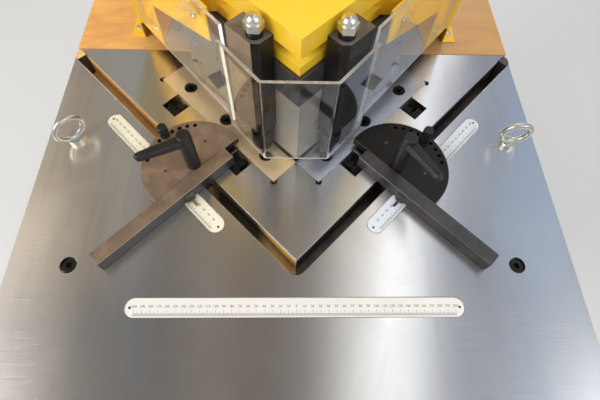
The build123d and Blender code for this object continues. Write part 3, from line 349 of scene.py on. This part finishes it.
def enamel(name, colour, dark, pale, texture, roughness=0.32, coat=0.25):
    """Sprayed enamel: orange peel, light dust and chipped edges that show the primer."""
    look = Look(name, colour, roughness, Coat_Weight=coat, Coat_Roughness=0.22)
    peel = look.noise(2.4, detail=2)
    broad = look.noise(150, detail=3)
    dust = look.noise(7, detail=5, warp=0.4)
    look.wash(broad, 0.35, 0.70, 0.45, dark)
    look.wash(dust, 0.55, 0.80, 0.22, pale)
    look.rub_edges(1.6, 0.45, pale)
    look.rub_edges(1.1, look.range(look.noise(5, detail=3), 0.60, 0.66), PRIMER)
    look.rough_from(look.range(dust, 0.3, 0.8, roughness - 0.06, roughness + 0.12))
    look.raise_by(peel, texture)
    return look.done(rounding=0.8)


# The deck darkens to the right between these places
DECK_DARKENS = (-0.05, 0.30)


def deck_paint(name):
    """Tan deck paint, brushed on and rubbed at the edges, in brighter orange patches and darker
    towards the right.
    """
    look = Look(name, (0.80, 0.41, 0.12), roughness=0.42, Coat_Weight=0.2, Coat_Roughness=0.3)
    brush = look.noise(3.0, stretch=(24, 1, 1), detail=3)
    patch = look.noise(45, stretch=(2, 1, 1), detail=5, warp=1.2)
    fleck = look.noise(4, detail=4)
    look.wash(patch, 0.36, 0.62, 0.9, (0.98, 0.54, 0.15))
    look.wash(brush, 0.45, 0.75, 0.30, (0.55, 0.31, 0.13))
    look.wash(look.axis("X"), *DECK_DARKENS, 0.45, (0.42, 0.27, 0.13))
    look.wash(fleck, 0.66, 0.76, 0.4, (0.36, 0.22, 0.12))
    look.rub_edges(1.4, 0.6, (0.85, 0.58, 0.33))
    look.rough_from(look.range(patch, 0.3, 0.7, 0.32, 0.50))
    look.raise_by(brush, depth=0.02)
    return look.done(rounding=0.8)


def blackened(name, colour, rubbed, roughness, metallic, lines=0.0):
    """Blackened or dark machined steel: oil clouds, tool marks and bright rubbed edges."""
    look = Look(name, colour, roughness, metallic, Specular_IOR_Level=0.35)
    cloud = look.noise(22, detail=4, warp=0.8)
    fine = look.noise(1.1, detail=3)
    look.wash(cloud, 0.42, 0.74, 0.6, scaled(colour, 1.7, 0.004))
    look.wash(fine, 0.62, 0.80, 0.4, rubbed)
    look.rub_edges(0.9, look.range(look.noise(9, detail=3), 0.35, 0.62), rubbed)
    look.rough_from(look.range(cloud, 0.3, 0.75, roughness - 0.07, roughness + 0.14))
    look.raise_by(fine, depth=0.012)
    if lines:
        look.raise_by(look.noise(0.8, stretch=(30, 1, 30), detail=2, turn=45), lines)
    return look.done(rounding=0.5)


def plated(name, colour, roughness):
    """Bright plating with faint clouding."""
    look = Look(name, colour, roughness, metallic=1.0)
    cloud = look.noise(6, detail=4, warp=0.6)
    look.wash(cloud, 0.46, 0.74, 0.6, scaled(colour, 0.72))
    look.rough_from(look.range(cloud, 0.3, 0.7, roughness, roughness + 0.14))
    look.raise_by(look.noise(0.7, detail=2), depth=0.006)
    return look.done(rounding=0.5)


def moulded(name, colour, roughness, grain=0.03):
    """Moulded plastic or rubber with a fine grain and scuffed edges."""
    look = Look(name, colour, roughness)
    fine = look.noise(0.9, detail=3)
    scuff = look.noise(11, detail=5)
    pale = scaled(colour, 0.8, 0.035)
    look.wash(scuff, 0.55, 0.80, 0.35, pale)
    look.rub_edges(0.9, 0.5, pale)
    look.rough_from(look.range(scuff, 0.3, 0.8, roughness - 0.05, roughness + 0.15))
    look.raise_by(fine, grain)
    return look.done(rounding=0.7)


def printed_plate(name, colour):
    """Scale insert: matt printed metal, clouded and specked by handling."""
    look = Look(name, colour, roughness=0.40)
    cloud = look.noise(30, detail=4)
    speck = look.noise(1.2, detail=3)
    look.wash(cloud, 0.42, 0.72, 0.5, scaled(colour, 0.93))
    look.wash(speck, 0.68, 0.78, 0.5, (0.55, 0.53, 0.50))
    look.rough_from(look.range(cloud, 0.3, 0.7, 0.32, 0.48))
    look.raise_by(speck, depth=0.006)
    return look.done(rounding=0.3)


PANE_GLOW_COLOUR = (1.0, 0.90, 0.86, 1.0)
SHEET_SHADOW = (0.94, 0.95, 0.94, 1.0)


def see_through(name, colour, roughness, veil):
    """Clear polycarbonate that lets the lamps' light through, with faint scratches and a
    faint painted glow, an emission that lightens the sheet."""
    look = Look(name, colour, roughness, IOR=1.52, Transmission_Weight=1.0,
                Emission_Color=PANE_GLOW_COLOUR, Emission_Strength=veil)
    haze = look.noise(14, stretch=(1, 1, 5), detail=4)
    look.rough_from(look.range(haze, 0.50, 0.90, roughness, roughness + 0.05))
    look.raise_by(look.noise(60, detail=1), depth=0.02)
    material = look.done(rounding=0.3)
    clear = look.add("ShaderNodeBsdfTransparent")
    clear.inputs["Color"].default_value = SHEET_SHADOW
    in_shadow = look.add("ShaderNodeLightPath").outputs["Is Shadow Ray"]
    blend = mix_shaders(look.tree, in_shadow, look.shader.outputs[0], clear.outputs[0])
    look.link(blend, look.tree.nodes["Material Output"].inputs["Surface"])
    return material


def sheet_edge(name, colour, clear, glow):
    """Sawn and flamed edge of the clear sheet, which gathers the light; glow is emission, a
    painted light for what it gathers.
    """
    look = Look(name, colour, roughness=0.25, Transmission_Weight=clear, IOR=1.45,
                Emission_Color=(*colour, 1.0), Emission_Strength=glow)
    band = look.noise(18, detail=3)
    look.wash(band, 0.42, 0.66, 1.0, [min(1.0, channel * 1.08) for channel in colour])
    look.rough_from(look.range(band, 0.3, 0.7, 0.18, 0.35))
    look.raise_by(look.noise(1.5, detail=2), depth=0.03)
    return look.done(rounding=0.6)


# The slot is shaded about this place along X, fully to the first reach and none past the second
SLOT_SHADE_X = -0.085
SLOT_SHADE_REACH = (0.030, 0.045)


def slot_film(name, dark, warm, bias, metallic=0.7):
    """Inside of the V slot: oiled steel with a brown film in places, and a shaded stretch."""
    look = Look(name, dark, roughness=0.38, metallic=metallic)
    patch = look.noise(70, detail=3, warp=0.8)
    fine = look.noise(3, stretch=(1, 1, 8), detail=3)
    look.wash(patch, bias, bias + 0.16, 1.0, warm)
    look.wash(fine, 0.55, 0.80, 0.5, scaled(dark, 0.4))
    reach = look.maths("ABSOLUTE", look.maths("ADD", look.axis("X"), -SLOT_SHADE_X))
    look.tint(look.range(reach, *SLOT_SHADE_REACH, 0.9, 0.0), (0.02, 0.017, 0.015))
    look.rough_from(look.range(fine, 0.3, 0.7, 0.28, 0.50))
    look.raise_by(fine, depth=0.02)
    return look.done(rounding=0.4)


def ink(name):
    """Printing ink of the scales, worn pale in places."""
    look = Look(name, (0.10, 0.10, 0.11), roughness=0.5)
    look.wash(look.noise(1.0, detail=3), 0.55, 0.75, 0.6, (0.35, 0.34, 0.33))
    look.rough_from(look.range(look.noise(4), 0.3, 0.7, 0.42, 0.6))
    return look.done(rounding=0.05)


looks = {}


def add_look(name, make, *values, **settings):
    """Makes a material and keeps it under its name."""
    looks[name] = make(name, *values, **settings)


add_look("ground_steel", ground_steel, WARM_FRONT_LEFT, COOL_FRONT_RIGHT)
add_look("inner_steel", ground_steel, GOLDEN_INNER_LEFT, PALE_INNER_CORNER)

# The glints' direction is that in which highlights are drawn out.
add_look("tool_steel", tool_steel, (0.76, 0.72, 0.67), glints=(0, 0, 1))
add_look("knife_steel", knife_steel)
# The two blade looks are tinted copies of the blade steel: painted reflections, warm of the
# yellow machine on the left blade and cool on the right.
add_look("blade_warm", tool_steel, (1.0, 0.77, 0.45), glints=(1, 1, 0), metallic=0.6)
add_look("blade_cool", tool_steel, (0.76, 0.80, 0.90), glints=(-1, 1, 0), metallic=0.88)

# Colour, its darker clouds, its pale dust and edges
add_look("yellow_paint", enamel, (0.98, 0.62, 0.025), (0.93, 0.54, 0.015), (1.0, 0.76, 0.18),
         texture=0.03, coat=0.15)
# yellow_paint's deeper orange is partly the paint's own colour and partly painted shade on the
# sides; the next look is a paler copy, a painted highlight of the light and sky on the ram head's
# upward faces.
add_look("yellow_faded", enamel, (0.98, 0.74, 0.075), (0.95, 0.66, 0.05), (1.0, 0.84, 0.28),
         texture=0.03)
add_look("tan_paint", deck_paint)
add_look("grey_paint", enamel, (0.15, 0.16, 0.175), (0.12, 0.13, 0.14), (0.30, 0.31, 0.32),
         texture=0.10, roughness=0.45, coat=0.1)
add_look("machine_frame", enamel, (0.075, 0.08, 0.09), (0.06, 0.062, 0.07), (0.18, 0.18, 0.19),
         texture=0.06, roughness=0.48, coat=0.0)

# Colour, and the colour where it is rubbed
add_look("black_oxide", blackened, (0.009, 0.008, 0.007), (0.14, 0.13, 0.12),
         roughness=0.38, metallic=0.25)
add_look("dark_steel", blackened, (0.075, 0.072, 0.074), (0.30, 0.29, 0.28),
         roughness=0.40, metallic=0.6, lines=0.01)
# The next two looks are lighter copies of the black steel: painted light on faces that look up or
# to the left, where the lamps and the yellow machine light them.
add_look("black_warm", blackened, (0.24, 0.17, 0.115), (0.38, 0.30, 0.23),
         roughness=0.36, metallic=0.35)
add_look("black_rubbed", blackened, (0.16, 0.145, 0.135), (0.32, 0.30, 0.29),
         roughness=0.34, metallic=0.20)

add_look("bright_plate", plated, (0.80, 0.78, 0.73), roughness=0.24)
add_look("zinc_plate", plated, (0.62, 0.62, 0.57), roughness=0.34)
# The glow is emission that lightens the side panes, a painted light; the front guard has none.
add_look("clear_guard", see_through, (0.97, 0.98, 0.97), roughness=0.02, veil=0.0)
add_look("clear_pane", see_through, (0.98, 0.98, 0.98), roughness=0.02, veil=0.035)
add_look("scale_white", printed_plate, (0.92, 0.90, 0.85))
# The next two looks are copies of the scale plate with painted light: the left scale paler and
# warm where less light reaches it, the right one cool.
add_look("scale_cream", printed_plate, (1.0, 0.96, 0.76))
add_look("scale_cool", printed_plate, (0.86, 0.92, 0.99))
add_look("black_plastic", moulded, (0.011, 0.011, 0.012), roughness=0.42)
add_look("red_plastic", moulded, (0.50, 0.012, 0.010), roughness=0.26, grain=0.008)
add_look("green_plastic", moulded, (0.02, 0.26, 0.06), roughness=0.28, grain=0.008)
add_look("rubber_foot", moulded, (0.045, 0.045, 0.047), roughness=0.62, grain=0.06)
add_look("guard_edge", sheet_edge, (0.66, 0.59, 0.52), clear=0.30, glow=0.0)
# The panes' front ends glow with emission, painted light: warm on the left pane, cool on the
# right.
add_look("pane_edge_warm", sheet_edge, (1.0, 0.96, 0.88), clear=0.1, glow=0.9)
add_look("pane_edge_cool", sheet_edge, (0.78, 0.79, 0.85), clear=0.1, glow=0.15)

# Bare steel and its film. The bias is the noise level at which the film begins.
add_look("slot_copper", slot_film, (0.90, 0.55, 0.22), (1.0, 0.70, 0.30),
         bias=0.32, metallic=0.2)
add_look("slot_grey", slot_film, (0.07, 0.068, 0.062), (0.13, 0.11, 0.09), bias=0.44)
add_look("scale_ink", ink)


# Which faces wear which material

# How far a face's normal has to point one way, as a share of its length
MOSTLY = 0.5
STRAIGHT_UP = 0.9
ALONG_THE_SHEET = 0.97
NEARLY_LEVEL = 0.3


def dress_nodes():
    """Gives every carried-over node the material of its slot."""
    for part in frame["record"]["subparts"]:
        mesh = nodes[part["node"]].data
        mesh.materials.clear()
        mesh.materials.append(looks[part["material_slot"]])


def dress_faces(node, look, chosen):
    """Gives another material to the faces of a node that chosen(centre in mm, normal) picks."""
    mesh = nodes[node].data
    mesh.materials.append(looks[look])
    index = len(mesh.materials) - 1
    for face in mesh.polygons:
        if chosen((face.center - TIP) / MM, face.normal):
            face.material_index = index


def every_face(centre, normal):
    return True


def faces_up(centre, normal):
    return normal.z > MOSTLY


def is_sheet_edge(centre, normal):
    """True on the narrow faces of the guard and panes: tops, bottoms and ends."""
    run = Vector((math.copysign(GUARD_RUN[0], centre.x), GUARD_RUN[1], 0)).normalized()
    return abs(normal.z) > STRAIGHT_UP or abs(normal.dot(run)) > ALONG_THE_SHEET


def is_front_end(centre, normal):
    """True on a pane's narrow end that faces the operator."""
    return is_sheet_edge(centre, normal) and abs(normal.z) < MOSTLY and normal.y < 0


def slot_walls(side):
    """A test for the upright faces of one limb of the V slot, under its broken rim."""
    def test(centre, normal):
        away = (side * centre.x - centre.y) / ROOT_TWO - SLOT_OFFSET
        in_limb = side * centre.x > 0 and abs(away) < SLOT_WIDTH / 2 + 1
        return in_limb and centre.z < -SLOT_RIM_DEPTH and abs(normal.z) < NEARLY_LEVEL
    return test


def rail_floor(side):
    """A test for the faces at the bottom of one limb of the V slot."""
    def test(centre, normal):
        in_rail = centre.z > -RAIL_FLOOR_DEPTH - 2
        return side * centre.x > 0 and in_rail and faces_up(centre, normal)
    return test


def dress_details():
    for node in ("pane_left", "pane_right"):
        dress_faces(node, "clear_pane", every_face)
    for node in ("front_guard", "pane_left", "pane_right"):
        dress_faces(node, "guard_edge", is_sheet_edge)
    # Painted light: glowing front ends, warm on the left pane and cool on the right.
    dress_faces("pane_left", "pane_edge_warm", is_front_end)
    dress_faces("pane_right", "pane_edge_cool", is_front_end)
    dress_faces("table_plate_inner", "inner_steel", every_face)
    for node in ("table_plate_front", "table_plate_inner"):
        dress_faces(node, "slot_copper", slot_walls(-1))
        dress_faces(node, "slot_grey", slot_walls(1))
    dress_faces("slot_rails", "slot_copper", rail_floor(-1))
    dress_faces("slot_rails", "slot_grey", rail_floor(1))
    # Painted reflections: the left blade tinted warm, the right blade cool.
    dress_faces("die_blade_left", "blade_warm", every_face)
    dress_faces("die_blade_right", "blade_cool", every_face)
    # Painted light: the left scale paler and warm, the right one cool.
    dress_faces("angle_scales", "scale_cream", lambda centre, normal: centre.x < 0)
    dress_faces("angle_scales", "scale_cool", lambda centre, normal: centre.x > 0)
    # Painted light: the upward faces of the left protractor and fence, and the left-facing faces
    # of the left hold-down blocks, warm and lighter.
    for node in ("protractor_left", "fence_left"):
        dress_faces(node, "black_warm", faces_up)
    dress_faces("eyebolts", "zinc_plate", every_face)
    # Painted highlight: the ram head's upward faces paler, as lit from above.
    dress_faces("ram_head", "yellow_faded", faces_up)
    dress_faces("hold_down_blocks", "black_warm",
                lambda centre, normal: centre.x < 0 and normal.x < -MOSTLY)
    # Painted highlight: the hold-down blocks' upward faces lighter, as lit from above.
    dress_faces("hold_down_blocks", "black_rubbed", faces_up)
    for side in ("left", "right"):
        dress_faces("knife_" + side, "knife_steel", every_face)
        dress_faces("hold_down_" + side, "bright_plate",
                    lambda centre, normal: centre.z > HOLD_NECK_TOP - 0.5)
        dress_faces("stop_carriage_" + side, "bright_plate",
                    lambda centre, normal: centre.z > STUD_BRIGHT_FROM)


dress_nodes()
dress_details()


# Small pieces

def finish_mesh(shape, name):
    mesh = bpy.data.meshes.new(name)
    shape.to_mesh(mesh)
    shape.free()
    return mesh


def add_piece(name, shape, body, look):
    """Puts a shape in the scene, on its body, with its material."""
    mesh = finish_mesh(shape, name)
    piece = bpy.data.objects.new(name, mesh)
    bpy.context.scene.collection.objects.link(piece)
    mesh.materials.append(looks[look])
    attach(piece, body)


def add_tick(shape, length, turn, x, y):
    """Adds a graduation centred on x, y."""
    turned = Matrix.Rotation(turn, 4, "Z")
    place = Matrix.Translation(at(x, y, SCALE_TOP + TICK_HEIGHT / 2)) @ turned
    size = Matrix.Diagonal((TICK_WIDTH * MM, length * MM, TICK_HEIGHT * MM, 1.0))
    bmesh.ops.create_cube(shape, size=1.0, matrix=place @ size)


def add_numeral(shape, words, turn, x, y):
    """Adds flat numerals centred on x, y, level with the tops of the graduations."""
    curve = bpy.data.curves.new("numerals", "FONT")
    curve.body = words
    curve.size = NUMERAL_SIZE * MM
    curve.align_x = "CENTER"
    curve.align_y = "CENTER"
    curve.resolution_u = 2
    carrier = bpy.data.objects.new("numerals", curve)
    mesh = bpy.data.meshes.new_from_object(carrier)
    turned = Matrix.Rotation(turn, 4, "Z")
    mesh.transform(Matrix.Translation(at(x, y, SCALE_TOP + TICK_HEIGHT)) @ turned)
    shape.from_mesh(mesh)
    bpy.data.objects.remove(carrier)
    bpy.data.curves.remove(curve)
    bpy.data.meshes.remove(mesh)


def tick_length(value):
    """Tens are the longest, then fives, then single millimetres."""
    return next(length for step, length in TICK_LENGTHS.items() if value % step == 0)


def add_marks(name, values, spot, turn, numeral_rise):
    """Graduations and numerals of one scale. spot(value, rise) gives X and Y of the place that
    lies rise above the foot of that value's graduation."""
    shape = bmesh.new()
    for value in values:
        length = tick_length(value)
        add_tick(shape, length, turn, *spot(value, length / 2))
        if value % NUMERAL_STEP == 0:
            add_numeral(shape, str(abs(value)), turn, *spot(value, numeral_rise))
    add_piece(name, shape, "frame", "scale_ink")


def front_scale_marks():
    def spot(value, rise):
        return value, FRONT_SCALE_Y - TICK_FOOT + rise

    values = range(-FRONT_SCALE_REACH, FRONT_SCALE_REACH + 1)
    add_marks("front_scale_marks", values, spot, 0, FRONT_NUMERAL_RISE)


def angle_scale_marks(side, name):
    """The marks are moved back by the pointer's length, so that it reads the fence's place."""
    def spot(value, rise):
        return along_slot(side, value - POINTER_LEAD, -ANGLE_SCALE_OFFSET - TICK_FOOT + rise)

    first = math.ceil(ANGLE_SCALE_START + ANGLE_MARKS_INSET + POINTER_LEAD)
    last = math.floor(ANGLE_SCALE_END - ANGLE_MARKS_INSET + POINTER_LEAD)
    turn = math.radians(45 * side)
    add_marks(name, range(first, last + 1), spot, turn, ANGLE_NUMERAL_RISE)


def add_ring(shape, x, y, z, radii):
    """Adds points evenly round x, y at one height, one for each radius."""
    ring = []
    for i, radius in enumerate(radii):
        turn = 2 * math.pi * i / len(radii)
        place = at(x + radius * math.cos(turn), y + radius * math.sin(turn), z)
        ring.append(shape.verts.new(place))
    return ring


def join_rings(shape, rings):
    """Skins the rings from the lowest to the highest."""
    for lower, upper in zip(rings, rings[1:]):
        for i in range(len(lower)):
            j = (i + 1) % len(lower)
            shape.faces.new((lower[i], lower[j], upper[j], upper[i]))


def add_domed_head(shape, x, y, z, radius, height):
    """Adds the plain domed head of a rivet or screw, standing on z."""
    rings = [add_ring(shape, x, y, z + height * rise, [radius * share] * HEAD_SIDES)
             for share, rise in HEAD_RINGS]
    join_rings(shape, rings)
    crown = shape.verts.new(at(x, y, z + height))
    top = rings[-1]
    for i in range(HEAD_SIDES):
        shape.faces.new((top[i], top[(i + 1) % HEAD_SIDES], crown))


def scale_rivets():
    shape = bmesh.new()
    for side in (1, -1):
        places = [(side * (FRONT_SCALE_REACH + FRONT_RIVET_GAP), FRONT_SCALE_Y)]
        for along in (ANGLE_SCALE_START + ANGLE_RIVET_INSET, ANGLE_SCALE_END - ANGLE_RIVET_INSET):
            places.append(along_slot(side, along, -ANGLE_SCALE_OFFSET))
        for x, y in places:
            add_domed_head(shape, x, y, SCALE_TOP, RIVET_RADIUS, RIVET_HEIGHT)
    add_piece("scale_rivets", shape, "frame", "dark_steel")


def protractor_screws(side, name, body):
    shape = bmesh.new()
    for reach, turn in SCREW_PLACES:
        angle = math.radians(turn)
        along = STOP_ALONG + reach * math.cos(angle)
        x, y = along_slot(side, along, -SLOT_OFFSET + reach * math.sin(angle))
        add_domed_head(shape, x, y, PROTRACTOR_TOP, SCREW_RADIUS, SCREW_HEIGHT)
    add_piece(name, shape, body, "dark_steel")


def knurled_bands(side, name, body):
    """Ridged bands round the index pin's knob."""
    shape = bmesh.new()
    x, y = along_slot(side, STOP_ALONG + INDEX_RADIUS, -SLOT_OFFSET)
    for low, high in KNURL_BANDS:
        rings = []
        for z, inset in ((low, KNURL_INSET), (low + KNURL_CHAMFER, 0.0),
                         (high - KNURL_CHAMFER, 0.0), (high, KNURL_INSET)):
            radii = [PIN_KNOB_RADIUS + (KNURL_CREST if i % 2 else KNURL_VALLEY) - inset
                     for i in range(KNURL_POINTS)]
            rings.append(add_ring(shape, x, y, z, radii))
        join_rings(shape, rings)
    add_piece(name, shape, body, "black_plastic")


front_scale_marks()
scale_rivets()
for side, word in ((1, "right"), (-1, "left")):
    angle_scale_marks(side, "angle_scale_marks_" + word)
    protractor_screws(side, "protractor_screws_" + word, "fence_" + word)
    knurled_bands(side, "index_pin_knurl_" + word, "pin_" + word)


# Studio

# The camera stands where the photograph was taken from: metres and degrees. Its focal length is
# in pixels of a picture IMAGE_WIDTH wide.
CAMERA_PLACE = (-0.0135, -0.4175, 1.4433)
CAMERA_YAW = -3.73
CAMERA_PITCH = 61.25
CAMERA_ROLL = 3.73
CAMERA_FOCUS = 420.0
CAMERA_SHIFT = -0.0583
CAMERA_CLIP = 0.02
IMAGE_WIDTH = 600.0
SENSOR_WIDTH = 36.0

FLOOR_SIZE = 12.0
FLOOR_COLOUR = (0.80, 0.80, 0.79)
FLOOR_SCUFFED = (0.77, 0.77, 0.77)

LIGHT_COLOUR = (1.0, 0.99, 0.98, 1.0)
LIGHT_LEVEL = 0.55
SEEN_COLOUR = (1.0, 1.0, 1.0, 1.0)
SEEN_LEVEL = 0.80

# The bands lie side by side along X, BAND_REACH to each side of the direction BAND_AHEAD: their
# places from left (0) to right (1) and their colours
BAND_AHEAD = (0.0, 0.5, 0.87)
BAND_REACH = 0.8
BAND_STOPS = (
    (0.00, (0.36, 0.33, 0.28)), (0.07, (0.43, 0.39, 0.33)), (0.13, (0.41, 0.37, 0.31)),
    (0.20, (0.21, 0.19, 0.17)), (0.27, (0.27, 0.28, 0.29)), (0.32, (0.20, 0.19, 0.18)),
    (0.39, (0.36, 0.32, 0.28)), (0.44, (0.22, 0.19, 0.17)), (0.54, (0.30, 0.28, 0.27)),
    (0.62, (1.20, 1.22, 1.20)), (0.655, (2.10, 2.10, 2.10)), (0.69, (1.60, 1.66, 1.74)),
    (0.735, (0.48, 0.51, 0.57)), (0.80, (0.35, 0.37, 0.42)), (0.87, (0.39, 0.48, 0.62)),
    (1.00, (0.38, 0.44, 0.52)),
)

# Name, place, point it is aimed at, width and length in metres, power in watts, colour
LAMPS = (
    ("key_lamp", (-2.2, -1.2, 2.6), (0, 0, 0.9), 1.6, 1.6, 52.0, (1.0, 0.98, 0.95)),
    ("fill_lamp", (1.9, -1.4, 2.6), (0, 0, 0.8), 1.8, 1.8, 22.0, (0.95, 0.97, 1.0)),
    ("rear_lamp", (0.4, 2.6, 2.2), (0, 0.1, 1.0), 2.0, 1.0, 20.0, (1.0, 1.0, 1.0)),
)


def make_camera():
    camera = bpy.data.objects.new("camera", bpy.data.cameras.new("camera"))
    bpy.context.scene.collection.objects.link(camera)
    camera.data.sensor_width = SENSOR_WIDTH
    camera.data.lens = CAMERA_FOCUS / IMAGE_WIDTH * SENSOR_WIDTH
    camera.data.shift_y = CAMERA_SHIFT
    camera.data.clip_start = CAMERA_CLIP
    aim = Matrix.Rotation(math.radians(CAMERA_YAW), 4, "Z")
    aim @= Matrix.Rotation(math.radians(90.0 - CAMERA_PITCH), 4, "X")
    aim @= Matrix.Rotation(math.radians(CAMERA_ROLL), 4, "Z")
    camera.matrix_world = Matrix.Translation(CAMERA_PLACE) @ aim
    bpy.context.scene.camera = camera


def make_floor():
    shape = bmesh.new()
    bmesh.ops.create_grid(shape, x_segments=1, y_segments=1, size=FLOOR_SIZE)
    floor = bpy.data.objects.new("studio_floor", finish_mesh(shape, "studio_floor"))
    bpy.context.scene.collection.objects.link(floor)
    look = Look("studio_floor", FLOOR_COLOUR, roughness=0.9)
    look.wash(look.noise(900, detail=2), 0.3, 0.7, 0.3, FLOOR_SCUFFED)
    floor.data.materials.append(look.done(rounding=0.1))


def fill_ramp(ramp, stops):
    """Sets a colour ramp's stops: all the places first, then the colours."""
    ramp.interpolation = "EASE"
    while len(ramp.elements) < len(stops):
        ramp.elements.new(0.5)
    for element, (position, colour) in zip(ramp.elements, stops):
        element.position = position
    for element, (position, colour) in zip(ramp.elements, stops):
        element.color = (*colour, 1.0)


def make_bands(tree):
    """The colour of the soft bands overhead, in the direction that a ray goes."""
    direction = add_node(tree, "ShaderNodeTexCoord").outputs["Generated"]
    split = add_node(tree, "ShaderNodeSeparateXYZ")
    tree.links.new(direction, split.inputs[0])
    ahead = add_node(tree, "ShaderNodeVectorMath", operation="DOT_PRODUCT")
    ahead.inputs[1].default_value = BAND_AHEAD
    tree.links.new(direction, ahead.inputs[0])
    across = add_node(tree, "ShaderNodeMath", operation="DIVIDE")
    tree.links.new(split.outputs["X"], across.inputs[0])
    tree.links.new(ahead.outputs["Value"], across.inputs[1])
    spread = add_node(tree, "ShaderNodeMapRange")
    spread.inputs["From Min"].default_value = -BAND_REACH
    spread.inputs["From Max"].default_value = BAND_REACH
    tree.links.new(across.outputs[0], spread.inputs["Value"])
    bands = add_node(tree, "ShaderNodeValToRGB")
    fill_ramp(bands.color_ramp, BAND_STOPS)
    tree.links.new(spread.outputs["Result"], bands.inputs["Fac"])
    return bands.outputs["Color"]


def make_world():
    """Even light on matt surfaces, soft bands that only shiny surfaces mirror, and a plain pale
    room for what is seen directly or through the clear sheets."""
    world = bpy.data.worlds.new("studio")
    world.use_nodes = True
    bpy.context.scene.world = world
    tree = world.node_tree
    tree.nodes.clear()
    bands = make_bands(tree)
    path = add_node(tree, "ShaderNodeLightPath")
    plain = add_node(tree, "ShaderNodeBackground")
    plain.inputs["Color"].default_value = LIGHT_COLOUR
    plain.inputs["Strength"].default_value = LIGHT_LEVEL
    seen = add_node(tree, "ShaderNodeBackground")
    seen.inputs["Color"].default_value = SEEN_COLOUR
    seen.inputs["Strength"].default_value = SEEN_LEVEL
    mirrored = add_node(tree, "ShaderNodeBackground")
    tree.links.new(bands, mirrored.inputs["Color"])
    unseen = mix_shaders(tree, path.outputs["Is Glossy Ray"], plain.outputs[0],
                         mirrored.outputs[0])
    either = add_node(tree, "ShaderNodeMath", operation="MAXIMUM")
    tree.links.new(path.outputs["Is Camera Ray"], either.inputs[0])
    tree.links.new(path.outputs["Is Transmission Ray"], either.inputs[1])
    whole = mix_shaders(tree, either.outputs[0], unseen, seen.outputs[0])
    output = add_node(tree, "ShaderNodeOutputWorld")
    tree.links.new(whole, output.inputs["Surface"])


def make_lamp(name, place, aim, width, length, power, colour):
    data = bpy.data.lights.new(name, "AREA")
    data.shape = "RECTANGLE"
    data.size = width
    data.size_y = length
    data.energy = power
    data.color = colour
    lamp = bpy.data.objects.new(name, data)
    bpy.context.scene.collection.objects.link(lamp)
    lamp.location = place
    lamp.rotation_euler = (Vector(aim) - Vector(place)).to_track_quat("-Z", "Y").to_euler()


make_camera()
make_floor()
make_world()
for lamp_values in LAMPS:
    make_lamp(*lamp_values)

bpy.context.scene.view_settings.view_transform = "Standard"
